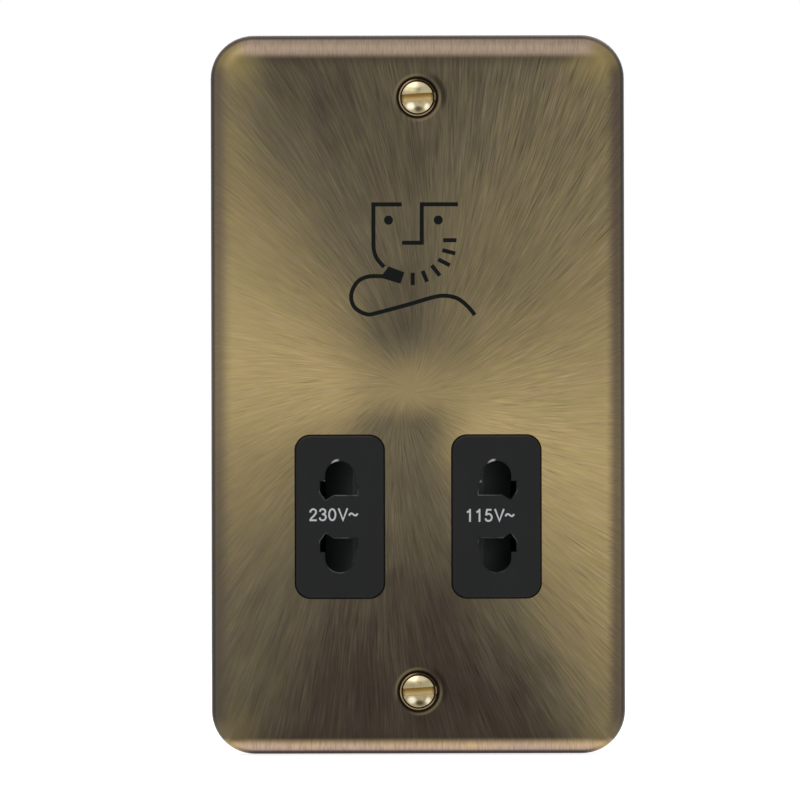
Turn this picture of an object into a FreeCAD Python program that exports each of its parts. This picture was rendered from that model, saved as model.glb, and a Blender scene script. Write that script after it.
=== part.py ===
import FreeCAD, Part
import math
import os
import re
import Sketcher
from FreeCAD import Placement, Rotation, Vector

# Dual-voltage shaver supply unit for a wall box, upright.
# X runs to the right, Y into the wall and Z up. The origin is the middle of the
# plate's rear rim, so the wall is the plane Y = 0 and the front looks along -Y.

doc = FreeCAD.newDocument("shaver_socket")
sheet = doc.addObject("Spreadsheet::Sheet", "sizes")

SIZES = [
    ("plate_corner", 8.8), ("plate_lap", 10.0), ("plate_margin", 12.7), ("plate_depth", 5.5),
    ("plate_sheet", 1.2), ("plate_roll", 4.0), ("screw_shank", 1.75), ("screw_room", 8.3),
    ("screw_head", 3.85), ("screw_dome", 1.0), ("screw_length", 32.0), ("screw_slot", 1.4),
    ("screw_slot_depth", 0.9), ("screw_tilt", 5.5), ("sink_radius", 4.2), ("sink_lip", 0.7),
    ("shank_clearance", 0.15), ("screw_seat_gap", 0.05), ("outlet_pitch", 31.8),
    ("outlet_drop", 24.8), ("island_width", 18.0), ("island_height", 33.0),
    ("island_corner", 3.0), ("island_proud", 0.5), ("island_edge", 0.5), ("window_gap", 0.2),
    ("hole_edge", 0.25), ("hole_radius", 3.0), ("hole_height", 6.88), ("hole_foot", 4.42),
    ("flat_ear_reach", 0.6), ("flat_ear_rise", 1.88), ("slant_ear_reach", 1.05),
    ("slant_ear_rise", 2.78), ("slant_ear_foot", 0.58), ("slant_tip_inset", 0.1),
    ("slant_tip_drop", 1.02), ("slant_neck", 1.25), ("body_corner", 4.0), ("body_wall", 1.8),
    ("panel", 2.0), ("track_lift", 1.3), ("track_inset", 1.0), ("track_rim", 0.7),
    ("stud_radius", 1.5), ("stud_inset_x", 5.7), ("stud_inset", 5.0), ("stud_room", 0.3),
    ("stud_high_x", 16.0), ("stud_length", 8.2), ("nut_radius", 3.1), ("nut_thick", 2.0),
    ("nut_gap", 0.5), ("thread_gap", 0.05), ("shutter_thick", 5.9), ("shutter_gap", 0.3),
    ("shutter_travel", 5.8), ("shutter_lap", 0.9), ("shutter_land", 0.4), ("shutter_web", 3.0),
    ("core_wall", 1.2), ("lug_width", 2.5), ("lug_height", 1.6), ("stake_half", 0.9),
    ("stake_length", 0.6), ("spring_radius", 2.1), ("spring_wire", 0.2), ("spring_turns", 5.0),
    ("peg_radius", 1.5), ("peg_gap", 0.6), ("deck_thick", 2.0), ("deck_gap", 0.7),
    ("deck_foot_gap", 2.6), ("rail", 1.8), ("end_wall", 1.5), ("end_wall_half", 4.0),
    ("column_radius", 2.2), ("column_gap", 1.6), ("column_inset", 2.5), ("cell_depth", 9.5),
    ("cell_wall", 1.5), ("clip_room", 3.6), ("clip_play", 0.8), ("switch_gap", 0.2),
    ("cover_thick", 1.5), ("carrier_screw", 1.1), ("carrier_head", 2.0), ("clip_sheet", 0.5),
    ("clip_width", 5.0), ("clip_inner", 5.4), ("clip_spread", 1.1), ("tab_width", 3.0),
    ("tab_reach", 2.5), ("rail_half", 9.0), ("contact_offset", 6.0), ("contact_radius", 1.2),
    ("contact_height", 0.5), ("contact_gap", 0.1), ("bridge_sheet", 0.4), ("bridge_width", 3.6),
    ("bridge_land", 0.3), ("core_width", 54.0), ("core_height", 45.0), ("core_stack", 16.0),
    ("core_gap", 0.6), ("ear_gap", 0.3), ("core_limb", 9.0), ("bobbin_wall", 1.0),
    ("bobbin_gap", 0.2), ("flange_thick", 1.2), ("flange_half_y", 15.6), ("winding_inset", 0.4),
    ("winding_corner", 3.0), ("frame_sheet", 1.0), ("frame_ear", 6.4), ("frame_ear_width", 10.0),
    ("crimp", 5.0), ("boss_radius", 3.0), ("cutout_width", 14.0), ("cutout_height", 6.5),
    ("cutout_thick", 4.0), ("cutout_gap", 4.1), ("flange_gap", 1.6), ("terminal_pitch", 14.0),
    ("terminal_width", 7.0), ("terminal_depth", 9.0), ("terminal_height", 7.0),
    ("terminal_shift", 0.5), ("wire_bore", 2.1), ("wire_bore_depth", 5.8), ("block_depth", 16.0),
    ("block_end", 3.5), ("block_lip", 0.4), ("block_inset", 0.2), ("block_roof", 0.6),
    ("fit_gap", 0.1), ("clamp_screw", 1.2), ("clamp_head", 2.1), ("clamp_head_thick", 1.8),
    ("earth_sheet", 0.8), ("earth_width", 3.6), ("earth_inset", 2.4), ("housing_edge", 2.0),
    ("low_gap", 3.2), ("step_gap", 0.5), ("post_inset_x", 5.0), ("post_inset", 4.0),
    ("post_gap", 0.3), ("post_radius", 3.6), ("post_seat", 4.0), ("housing_screw", 1.2),
    ("housing_head", 2.2), ("vent_width", 24.0), ("vent_height", 2.4), ("vent_pitch", 5.0),
    ("vent_count", 7.0), ("lead_radius", 0.8), ("lead_bend", 2.6), ("lead_gap", 0.25),
    ("sink_land", 0.15), ("cut_over", 0.5), ("pilot_depth", 8.0), ("post_pilot", 4.0),
    ("column_pilot", 2.5), ("screw_end_gap", 0.3), ("head_flat", 0.7), ("head_shoulder", 0.55),
    ("head_slot", 0.16), ("carrier_head_thick", 1.4), ("housing_head_thick", 1.6),
    ("stake_radius", 0.6), ("pin_gap", 0.5), ("pin_slack", 0.25), ("strap_half", 1.1),
    ("strap_room", 0.3), ("tab_room", 0.2), ("common_tab_x", 6.5), ("line_tab_x", 6.5),
    ("contact_half", 1.8), ("load_gap", 4.2), ("load_reach", 1.6), ("clip_floor", 1.0),
    ("clip_gap", 0.5), ("clip_waist", 2.4), ("clip_flare", 0.8), ("block_gap", 0.3),
    ("ear_rise", 1.0), ("frame_gap", 0.1), ("frame_room", 0.4), ("crimp_z", 8.0),
    ("clamp_stand", 0.4), ("strap_stand", 0.6), ("lead_front_y", 2.0), ("lead_inset", 1.0),
    ("ledge_gap", 3.5), ("lead_step", 7.0), ("lead_rise", 8.0), ("neutral_x", 21.0),
    ("switched_x", 8.5), ("winding_lead_x", 11.0), ("primary_lead_x", 12.5),
    ("primary_lead_z", 1.5), ("cutout_lead_x", 4.0), ("cutout_lead_drop", 1.8),
    ("common_lead_drop", 3.0),
]
for row, (alias, value) in enumerate(SIZES, start=1):
    sheet.set(f"A{row}", alias)
    sheet.set(f"B{row}", str(value))
    sheet.setAlias(f"B{row}", alias)
doc.recompute()

ALIASES = {alias for alias, value in SIZES}
FORMULAS = {}


def bound(text):
    """The expression with each size's name pointing at the sheet, and each formula written out."""
    def swap(match):
        word = match.group(0)
        if word in FORMULAS:
            return "(" + bound(FORMULAS[word]) + ")"
        return "sizes." + word if word in ALIASES else word
    return re.sub(r"[A-Za-z_][A-Za-z_0-9]*", swap, str(text))


def number(text):
    """The expression's value now, in millimetres."""
    return float(sheet.evalExpression(bound(text)))


# Places that several pieces share, each worked out from the sheet
FORMULAS.update({
    "plate_width": "2 * (body_half_x + plate_lap)",
    "plate_height": "screw_pitch + 2 * plate_margin",
    "screw_pitch": "2 * (body_half_z + screw_room)",
    "body_half_x": "max(deck_half_width; core_width / 2 + frame_gap + frame_sheet) + deck_gap + body_wall",
    "body_half_z": "max(upper_reach; lower_reach)",
    "upper_reach": "core_centre_z + ear_reach + ear_gap + body_wall",
    "lower_reach": "deck_foot + deck_foot_gap + body_wall + block_gap + block_height + block_inset",
    "plate_inner": "plate_sheet - plate_depth",
    "panel_back": "plate_inner + panel",
    "joint_depth": "panel_back + 2 * nut_thick + earth_sheet + nut_gap",
    "island_face": "0 - plate_depth - island_proud",
    "hole_top": "hole_foot + hole_height",
    "flat_ear": "hole_radius + flat_ear_reach",
    "flat_ear_top": "hole_foot + flat_ear_rise",
    "slant_ear": "hole_radius + slant_ear_reach",
    "slant_ear_top": "hole_foot + slant_ear_rise",
    "slant_ear_low": "hole_foot + slant_ear_foot",
    "slant_tip_x": "hole_radius - slant_tip_inset",
    "slant_tip_z": "hole_foot - slant_tip_drop",
    "track_face": "panel_back + track_lift",
    "track_half_x": "deck_half_width - track_inset",
    "track_half_z": "island_height / 2 + track_rim",
    "shutter_front": "track_face + shutter_gap",
    "shutter_back": "shutter_front + shutter_thick",
    "shutter_half": "hole_top + shutter_lap",
    "shutter_end": "outlet_x + shutter_travel / 2",
    "peg_length": "(end_wall_x - shutter_end - shutter_travel - peg_gap) / 2",
    "deck_front": "shutter_back + shutter_gap",
    "deck_back": "deck_front + deck_thick",
    "deck_half_width": "column_x + column_radius",
    "deck_half_height": "shutter_half + shutter_gap + rail",
    "deck_foot": "outlet_drop + deck_half_height",
    "deck_top": "outlet_drop - deck_half_height",
    "column_x": "cell_half_width + column_gap + column_radius",
    "column_z": "deck_half_height - column_inset",
    "cell_half_width": "outlet_x + clip_width / 2 + clip_room + cell_wall",
    "cell_back": "deck_back + cell_depth",
    "switch_half": "rail_half + switch_gap",
    "pin_room": "slant_ear + pin_slack",
    "cover_back": "cell_back + cover_thick",
    "tab_end": "cover_back + tab_reach",
    "outlet_x": "outlet_pitch / 2",
    "spring_y": "shutter_front + shutter_thick / 2",
    "end_wall_x": "deck_half_width - end_wall",
    "bridge_y": "deck_back + clip_sheet + contact_gap + contact_height",
    "rail_z": "contact_offset + contact_half",
    "load_z": "rail_z + load_reach",
    "bridge_half": "contact_offset + contact_radius + bridge_land",
    "clip_outer": "deck_half_height - cell_wall - clip_play - clip_spread",
    "clip_base": "cell_back - clip_sheet - clip_floor",
    "clip_mouth": "deck_back + clip_gap",
    "common_z": "(clip_inner + clip_outer) / 2",
    "strap_z": "clip_outer + clip_spread - strap_half",
    "stake_x": "cell_half_width - cell_wall / 2",
    "stake_z": "deck_half_height - cell_wall / 2",
    "stud_high_z": "body_half_z - stud_inset",
    "stud_low_x": "body_half_x - stud_inset_x",
    "stud_low_z": "housing_foot + stud_radius + stud_room",
    "block_foot": "body_half_z - block_inset",
    "block_height": "terminal_height + block_roof + block_lip",
    "block_top": "block_foot - block_height",
    "block_half_x": "terminal_pitch + terminal_width / 2 + block_end",
    "block_back": "joint_depth + block_depth",
    "block_z": "(block_top + block_foot) / 2",
    "terminal_y": "joint_depth + block_depth / 2 + terminal_shift",
    "terminal_top": "block_top + block_roof",
    "earth_drop": "block_top + earth_inset",
    "ear_reach": "core_height / 2 + ear_rise + frame_ear",
    "ear_z": "core_height / 2 + ear_rise + frame_ear / 2",
    "core_centre_y": "panel_back + cutout_gap + cutout_thick + winding_y",
    "core_centre_z": "core_gap + ear_reach - deck_top",
    "core_front": "core_centre_y - core_stack / 2",
    "frame_front": "core_front - frame_sheet",
    "winding_x": "2 * core_limb - winding_inset",
    "winding_y": "flange_half_y - winding_inset",
    "winding_front": "core_centre_y - winding_y",
    "bobbin_x": "core_limb + bobbin_gap + bobbin_wall",
    "bobbin_y": "core_stack / 2 + bobbin_gap + bobbin_wall",
    "bobbin_z": "core_height / 2 - core_limb - bobbin_gap",
    "cutout_z": "core_centre_z + bobbin_z / 2",
    "cutout_y": "winding_front - cutout_thick * 3 / 4",
    "housing_foot": "block_top - block_gap",
    "housing_low_depth": "tab_end + low_gap + body_wall",
    "housing_depth": "core_centre_y + flange_half_y + flange_gap + body_wall",
    "housing_step": "deck_top + step_gap",
    "post_x": "body_half_x - post_inset_x",
    "post_high_z": "body_half_z - post_inset",
    "post_low_z": "deck_top - post_radius - post_gap",
    "shank_hole": "screw_shank + shank_clearance",
    "window_x": "island_width / 2 + window_gap",
    "window_z": "island_height / 2 + window_gap",
    "tilt_cos": "cos(screw_tilt * 1 deg)",
    "tilt_sin": "sin(screw_tilt * 1 deg)",
    "vent_foot": "core_centre_z - (vent_count - 1) * vent_pitch / 2 - vent_height / 2",
    "lead_back_y": "tab_end - lead_inset",
    "lead_ledge": "deck_top - ledge_gap",
})


def drive(item, path, text):
    """Bind one property of an object to an expression of the sheet."""
    item.setExpression(path, bound(text))


def new_body(label, x="0", y="0", z="0"):
    """An empty body with its label and its place in the unit's frame."""
    body = doc.addObject("PartDesign::Body", label)
    body.Label = label
    for axis, text in zip("xyz", (x, y, z)):
        if text != "0":
            drive(body, f".Placement.Base.{axis}", text)
    return body


def new_sketch(body, plane, place="0"):
    """A sketch parallel to one of the body's own planes, at a place on the third axis."""
    sketch = body.newObject("Sketcher::SketchObject", body.Name + "_sketch")
    origin = next(f for f in body.Origin.OriginFeatures if f.Role == plane + "_Plane")
    sketch.AttachmentSupport = [(origin, "")]
    sketch.MapMode = "FlatFace"
    if place != "0":
        # the normal of the XZ plane looks along -Y
        drive(sketch, ".AttachmentOffset.Base.z", f"-({place})" if plane == "XZ" else place)
    return sketch


def place_point(sketch, geometry, end, x, y):
    """Hold a point of the sketch at two driven distances from the sketch's origin."""
    for kind, text in (("DistanceX", x), ("DistanceY", y)):
        index = sketch.addConstraint(Sketcher.Constraint(kind, -1, 1, geometry, end, number(text)))
        sketch.setExpression(f"Constraints[{index}]", bound(text))


def draw_outline(sketch, corners, arcs=None):
    """A closed outline through driven corners. arcs maps a corner's index to the radius
    of the arc that leaves it: anticlockwise where the radius is positive."""
    arcs = arcs or {}
    points = [Vector(number(x), number(y), 0) for x, y in corners]
    first = sketch.GeometryCount
    for i, start in enumerate(points):
        end = points[(i + 1) % len(points)]
        if i not in arcs:
            sketch.addGeometry(Part.LineSegment(start, end), False)
            continue
        radius, turn = arcs[i]
        size = number(radius)
        chord = end.sub(start)
        rise = math.sqrt(max(size ** 2 - (chord.Length / 2) ** 2, 0.0))
        side = Vector(-chord.y, chord.x, 0).normalize() * (rise * turn)
        centre = (start + end) * 0.5 + side
        angles = [math.atan2(p.y - centre.y, p.x - centre.x) for p in (start, end)]
        if turn < 0:
            angles.reverse()
        if angles[1] < angles[0]:
            angles[1] += 2 * math.pi
        circle = Part.Circle(centre, Vector(0, 0, 1), size)
        sketch.addGeometry(Part.ArcOfCircle(circle, *angles), False)
    last = len(points)
    for i in range(last):
        turned = i in arcs and arcs[i][1] < 0
        after = (i + 1) % last
        after_turned = after in arcs and arcs[after][1] < 0
        sketch.addConstraint(Sketcher.Constraint(
            "Coincident", first + i, 1 if turned else 2, first + after, 2 if after_turned else 1))
    for i, (x, y) in enumerate(corners):
        turned = i in arcs and arcs[i][1] < 0
        place_point(sketch, first + i, 2 if turned else 1, x, y)
    for i, (radius, turn) in arcs.items():
        index = sketch.addConstraint(Sketcher.Constraint("Radius", first + i, number(radius)))
        sketch.setExpression(f"Constraints[{index}]", bound(radius))
    return sketch


def draw_box(sketch, left, right, low, high):
    """A rectangle between driven sides."""
    return draw_outline(sketch, [(left, low), (right, low), (right, high), (left, high)])


def draw_circle(sketch, x, y, radius):
    """A circle at a driven place."""
    circle = Part.Circle(Vector(number(x), number(y), 0), Vector(0, 0, 1), number(radius))
    index = sketch.addGeometry(circle, False)
    place_point(sketch, index, 3, x, y)
    held = sketch.addConstraint(Sketcher.Constraint("Radius", index, number(radius)))
    sketch.setExpression(f"Constraints[{held}]", bound(radius))
    return sketch


def pad(body, sketch, length, inward=True, symmetric=False):
    """Add the sketch's material. On an upright XZ sketch, inward is towards the wall."""
    feature = body.newObject("PartDesign::Pad", body.Name + "_pad")
    feature.Profile = sketch
    drive(feature, "Length", length)
    feature.Reversed = inward and not symmetric
    feature.SideType = "Symmetric" if symmetric else "One side"
    doc.recompute()
    return feature


def cut(body, sketch, depth="", inward=True, symmetric=False):
    """Take the sketch's material away, through everything if no depth is given."""
    before = body.Shape.Volume
    feature = body.newObject("PartDesign::Pocket", body.Name + "_cut")
    feature.Profile = sketch
    if depth:
        drive(feature, "Length", depth)
    else:
        feature.Type = "ThroughAll"
    feature.Reversed = not inward and not symmetric
    feature.SideType = "Symmetric" if symmetric else "One side"
    doc.recompute()
    if not body.Shape.Volume < before:
        raise RuntimeError(f"a cut in {body.Label} takes nothing away")
    return feature


def edges_where(shape, wanted):
    """Names of the edges whose middle and direction pass the test."""
    names = []
    for i, edge in enumerate(shape.Edges, start=1):
        if edge.Length < 1e-6:
            continue
        low, high = edge.ParameterRange
        middle = edge.valueAt((low + high) / 2)
        along = edge.tangentAt((low + high) / 2)
        if wanted(middle, along, edge):
            names.append(f"Edge{i}")
    return names


def round_edges(body, radius, wanted, kind="Fillet"):
    """Fillet or chamfer the chosen edges of the body's last feature."""
    base = body.Tip
    names = edges_where(base.Shape, wanted)
    if not names:
        raise RuntimeError(f"{body.Label} has no such edges to round")
    feature = body.newObject(f"PartDesign::{kind}", body.Name + "_" + kind.lower())
    feature.Base = (base, names)
    drive(feature, "Radius" if kind == "Fillet" else "Size", radius)
    doc.recompute()
    return feature


def mirror(body, features, plane):
    """Repeat features on the other side of one of the body's planes."""
    feature = body.newObject("PartDesign::Mirrored", body.Name + "_mirror")
    feature.Originals = features
    origin = next(f for f in body.Origin.OriginFeatures if f.Role == plane + "_Plane")
    feature.MirrorPlane = (origin, [""])
    body.Tip = feature
    doc.recompute()
    return feature


def corners_inside(half_x, half_z, centre_z="0"):
    """Test for the Y-wise edges that stand at the corners of an upright rectangle."""
    def wanted(middle, along, edge):
        near_x = abs(abs(middle.x) - number(half_x)) < 0.01
        near_z = abs(abs(middle.z - number(centre_z)) - number(half_z)) < 0.01
        return abs(along.y) > 0.99 and near_x and near_z
    return wanted


def group(label, members):
    """Like pieces that share one node, each still a solid of its own."""
    compound = doc.addObject("Part::Compound", label)
    compound.Label = label
    compound.Links = members
    doc.recompute()
    return compound


def faces_where(shape, wanted):
    """Names of the flat faces whose centre and outward normal pass the test."""
    names = []
    for i, face in enumerate(shape.Faces, start=1):
        if isinstance(face.Surface, Part.Plane) and wanted(face.CenterOfMass, face.normalAt(0, 0)):
            names.append(f"Face{i}")
    return names


def revolve(body, profile, axis, groove=False):
    """Turn a half section once round one of its sketch's axes."""
    before = body.Shape.Volume if groove else 0.0
    kind = "Groove" if groove else "Revolution"
    feature = body.newObject(f"PartDesign::{kind}", body.Name + "_" + kind.lower())
    feature.Profile = profile
    feature.ReferenceAxis = (profile, [axis])
    feature.Angle = 360.0
    doc.recompute()
    if groove and not body.Shape.Volume < before:
        raise RuntimeError(f"a groove in {body.Label} takes nothing away")
    return feature


def holes(body, places, radius, front, depth):
    """Round holes at several places, from the plane y = front towards the wall."""
    sketch = new_sketch(body, "XZ", front)
    for x, z in places:
        draw_circle(sketch, x, z, radius)
    return cut(body, sketch, depth)


def stems(body, places, radius, front, back):
    """Round bosses or pins along Y between two planes."""
    sketch = new_sketch(body, "XZ", front)
    for x, z in places:
        draw_circle(sketch, x, z, radius)
    return pad(body, sketch, f"({back}) - ({front})")


def slab(body, left, right, low, high, front, back):
    """A straight-sided block between six driven planes."""
    sketch = draw_box(new_sketch(body, "XZ", front), left, right, low, high)
    return pad(body, sketch, f"({back}) - ({front})")


def slot(body, left, right, low, high, front, back):
    """A straight-sided opening between six driven planes."""
    sketch = draw_box(new_sketch(body, "XZ", front), left, right, low, high)
    return cut(body, sketch, f"({back}) - ({front})")


def make_front_plate():
    """Pressed brass sheet: a shallow tray with a rolled edge, two windows and two dimples."""
    plate = new_body("front_plate")
    half_x, half_z = "(plate_width / 2)", "(plate_height / 2)"
    outline = draw_box(new_sketch(plate, "XZ"), f"-{half_x}", half_x, f"-{half_z}", half_z)
    pad(plate, outline, "plate_depth", inward=False)
    round_edges(plate, "plate_corner", corners_inside(half_x, half_z))
    face = -number("plate_depth")
    round_edges(plate, "plate_roll", lambda middle, along, edge: abs(middle.y - face) < 0.01)
    base = plate.Tip
    hollow = plate.newObject("PartDesign::Thickness", "front_plate_hollow")
    hollow.Base = (base, faces_where(base.Shape, lambda centre, normal: abs(centre.y) < 0.01))
    drive(hollow, "Value", "plate_sheet")
    hollow.Reversed = True
    doc.recompute()
    # the sheet is pushed back round each screw, so the dimple stands out behind it
    sink_end = "sink_radius - shank_hole - plate_depth + sink_land"
    lip = "sink_radius + plate_sheet * tan(22.5 deg)"
    boss = new_sketch(plate, "YZ")
    drive(boss, ".AttachmentOffset.Base.y", "screw_pitch / 2")
    draw_outline(boss, [
        ("plate_inner - plate_sheet / 4", "0"), (sink_end, "0"),
        (sink_end, f"{lip} - ({sink_end}) + plate_inner"), ("plate_inner", lip),
        ("plate_inner - plate_sheet / 4", lip)])
    dimple = revolve(plate, boss, "H_Axis")
    bowl = new_sketch(plate, "YZ")
    drive(bowl, ".AttachmentOffset.Base.y", "screw_pitch / 2")
    draw_outline(bowl, [
        ("0 - plate_depth - cut_over", "0"), (f"{sink_end} + cut_over", "0"),
        (f"{sink_end} + cut_over", "shank_hole"),
        ("sink_radius - shank_hole - plate_depth", "shank_hole"),
        ("0 - plate_depth", "sink_radius"), ("0 - plate_depth - cut_over", "sink_radius")])
    sink = revolve(plate, bowl, "H_Axis", groove=True)
    mirror(plate, [dimple, sink], "XY")
    radius = number("sink_radius")

    def rim(middle, along, edge):
        round_one = isinstance(edge.Curve, Part.Circle) and abs(edge.Curve.Radius - radius) < 0.01
        return round_one and abs(edge.Curve.Center.y - face) < 0.01
    round_edges(plate, "sink_lip", rim)
    for side in ("-", ""):
        middle = f"{side}outlet_x"
        slot(plate, f"{middle} - window_x", f"{middle} + window_x", "0 - outlet_drop - window_z",
             "window_z - outlet_drop", "0 - plate_depth", "0")
        round_edges(plate, "island_corner + window_gap",
                    outlet_corners(middle, "window_x", "window_z"))
    return plate


def outlet_corners(middle, half_x, half_z):
    """Test for the four Y-wise edges at the corners of a rectangle round one outlet."""
    def wanted(point, along, edge):
        near_x = abs(abs(point.x - number(middle)) - number(half_x)) < 0.01
        near_z = abs(abs(point.z + number("outlet_drop")) - number(half_z)) < 0.01
        return abs(along.y) > 0.99 and near_x and near_z
    return wanted


def make_fixing_screws():
    """Two raised countersunk screws, seated in the plate's dimples."""
    screws = []
    for side in ("", "-"):
        screw = new_body("fixing_screw", z=f"{side}screw_pitch / 2")
        rim = "sink_radius - screw_head - screw_seat_gap - plate_depth"
        neck = f"{rim} + screw_head - screw_shank"
        section = new_sketch(screw, "YZ")
        draw_outline(section, [
            (f"{rim} - screw_dome", "0"), (rim, "screw_head"), (neck, "screw_shank"),
            (f"{rim} + screw_length", "screw_shank"), (f"{rim} + screw_length", "0")],
            {0: ("(screw_head ^ 2 + screw_dome ^ 2) / (2 * screw_dome)", -1)})
        revolve(screw, section, "H_Axis")
        reach = "(screw_head + cut_over)"
        corners = []
        for along, across in ((-1, -1), (1, -1), (1, 1), (-1, 1)):
            corners.append((
                f"{along} * {reach} * tilt_cos - {across} * screw_slot / 2 * tilt_sin",
                f"{along} * {reach} * tilt_sin + {across} * screw_slot / 2 * tilt_cos"))
        apex = f"{rim} - screw_dome"
        cut(screw, draw_outline(new_sketch(screw, "XZ", apex), corners), "screw_slot_depth")
        screws.append(screw)
    return group("fixing_screws", screws)


def pin_hole(side, rise):
    """Outline of one pin hole: a round arch for round pins, with ears for flat and slanted
    blades. side and rise say which way the slanted ear and the arch look."""
    arch = "hole_top - hole_radius"
    points = [
        ("0 - slant_neck", "hole_foot"), ("flat_ear", "hole_foot"), ("flat_ear", "flat_ear_top"),
        ("hole_radius", "flat_ear_top + flat_ear - hole_radius"), ("hole_radius", arch),
        ("0 - hole_radius", arch), ("0 - hole_radius", "slant_ear_top"),
        ("0 - slant_ear", "slant_ear_top"), ("0 - slant_ear", "slant_ear_low"),
        ("0 - slant_tip_x", "slant_tip_z")]
    turn = side * rise
    corners = [(f"{side} * ({x}) - {side} * outlet_x", f"{rise} * ({z}) - outlet_drop")
               for x, z in points]
    return corners, {4: ("hole_radius", turn)}


SIDES = ("-", "")
STUDS = [("-stud_high_x", "stud_high_z"), ("stud_high_x", "stud_high_z"),
         ("-stud_low_x", "-stud_low_z"), ("stud_low_x", "-stud_low_z")]
POSTS = [(f"{side}post_x", z) for side in SIDES for z in ("post_high_z", "-post_low_z")]
COLUMNS = [(f"{side}column_x", f"{rise}column_z - outlet_drop") for side in SIDES for rise in SIDES]
EARS = [("0", "core_centre_z + ear_z"), ("0", "core_centre_z - ear_z")]
BLOCK_SCREWS = [(f"{side}terminal_pitch / 2", "-block_z") for side in SIDES]


def make_socket_moulding():
    """Black moulded tray: two islands with the pin holes, the shutter's track and the bosses."""
    tray = new_body("socket_moulding")
    slab(tray, "-body_half_x", "body_half_x", "-body_half_z", "body_half_z",
         "plate_inner", "joint_depth")
    round_edges(tray, "body_corner", corners_inside("body_half_x", "body_half_z"))
    slot(tray, "body_wall - body_half_x", "body_half_x - body_wall", "body_wall - body_half_z",
         "body_half_z - body_wall", "panel_back", "joint_depth")
    round_edges(tray, "body_corner - body_wall",
                corners_inside("body_half_x - body_wall", "body_half_z - body_wall"))
    stems(tray, EARS, "boss_radius", "panel_back", "frame_front")
    stems(tray, POSTS, "post_radius", "panel_back", "joint_depth")
    stems(tray, BLOCK_SCREWS, "boss_radius", "panel_back", "joint_depth")
    slab(tray, "-track_half_x", "track_half_x", "-outlet_drop - track_half_z",
         "track_half_z - outlet_drop", "panel_back", "track_face")
    pilot = "carrier_screw + thread_gap"
    holes(tray, EARS, pilot, "frame_front - pilot_depth", "pilot_depth")
    holes(tray, POSTS, "housing_screw + thread_gap", "joint_depth - post_pilot", "post_pilot")
    holes(tray, BLOCK_SCREWS, pilot, "joint_depth - post_pilot", "post_pilot")
    holes(tray, COLUMNS, pilot, "track_face - column_pilot", "column_pilot")
    holes(tray, STUDS, "stud_radius + fit_gap", "plate_inner", "panel")
    for side in SIDES:
        middle = f"{side}outlet_x"
        slab(tray, f"{middle} - island_width / 2", f"{middle} + island_width / 2",
             "0 - outlet_drop - island_height / 2", "island_height / 2 - outlet_drop",
             "island_face", "plate_inner")
        round_edges(tray, "island_corner",
                    outlet_corners(middle, "island_width / 2", "island_height / 2"))
    front = number("island_face")
    round_edges(tray, "island_edge", lambda point, along, edge: abs(point.y - front) < 0.01)
    for side in (1, -1):
        for rise in (1, -1):
            corners, arcs = pin_hole(side, rise)
            draw = draw_outline(new_sketch(tray, "XZ", "island_face"), corners, arcs)
            cut(tray, draw, "track_face - island_face + cut_over")
    inner = number("island_width / 2 - island_edge") - 0.01
    reach = number("hole_top") + 0.01
    drop = number("outlet_drop")

    def hole_mouth(point, along, edge):
        within = abs(abs(point.x) - number("outlet_x")) < inner and abs(point.z + drop) < reach
        return abs(point.y - front) < 0.01 and within
    round_edges(tray, "hole_edge", hole_mouth, "Chamfer")
    return tray


def rod(name, x, z, radius, front, back):
    """A plain round rod along Y."""
    cylinder = doc.addObject("Part::Cylinder", name)
    drive(cylinder, "Radius", radius)
    drive(cylinder, "Height", f"({back}) - ({front})")
    cylinder.Placement = Placement(Vector(), Rotation(Vector(1, 0, 0), -90))
    for axis, text in zip("xyz", (x, front, z)):
        drive(cylinder, f".Placement.Base.{axis}", text)
    return cylinder


def hex_nut(name, x, z, front, back):
    """A hexagonal nut on a stud along Y."""
    prism = doc.addObject("Part::Prism", name + "_hex")
    prism.Polygon = 6
    drive(prism, "Circumradius", "nut_radius")
    drive(prism, "Height", f"({back}) - ({front})")
    prism.Placement = Placement(Vector(), Rotation(Vector(1, 0, 0), -90))
    for axis, text in zip("xyz", (x, front, z)):
        drive(prism, f".Placement.Base.{axis}", text)
    bore = rod(name + "_bore", x, z, "stud_radius + thread_gap", f"{front} - cut_over", f"{back} + cut_over")
    nut = doc.addObject("Part::Cut", name)
    nut.Base = prism
    nut.Tool = bore
    return nut


def make_studs_and_nuts():
    """Studs welded to the back of the plate hold the moulding by four nuts."""
    studs = [rod("stud", x, z, "stud_radius", "plate_inner", "plate_inner + stud_length")
             for x, z in STUDS]
    nuts = [hex_nut("stud_nut", x, z, "panel_back", "panel_back + nut_thick") for x, z in STUDS]
    group("plate_studs", studs)
    group("plate_nuts", nuts)
    x, z = STUDS[-1]
    strap_back = "panel_back + nut_thick + earth_sheet"
    lock = hex_nut("earth_nut", x, z, strap_back, f"{strap_back} + nut_thick")
    lock.Label = "earth_nut"


def headed_screw(label, x, z, seat, shank, shank_length, head, head_thick):
    """A pan-head screw driven from behind: the head is on the wall's side of its seat."""
    screw = new_body(label, x=x, y=seat, z=z)
    end = f"0 - ({shank_length})"
    section = new_sketch(screw, "YZ")
    draw_outline(section, [
        (end, "0"), (head_thick, "0"), (head_thick, f"{head} * head_flat"),
        (f"{head_thick} * head_shoulder", head), ("0", head), ("0", shank), (end, shank)])
    revolve(screw, section, "H_Axis")
    half = f"{head} * head_slot"
    notch = draw_box(new_sketch(screw, "XZ", f"{head_thick} / 2"),
                     f"0 - {head} - cut_over", f"{head} + cut_over", f"0 - {half}", half)
    cut(screw, notch, head_thick)
    return screw


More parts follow.
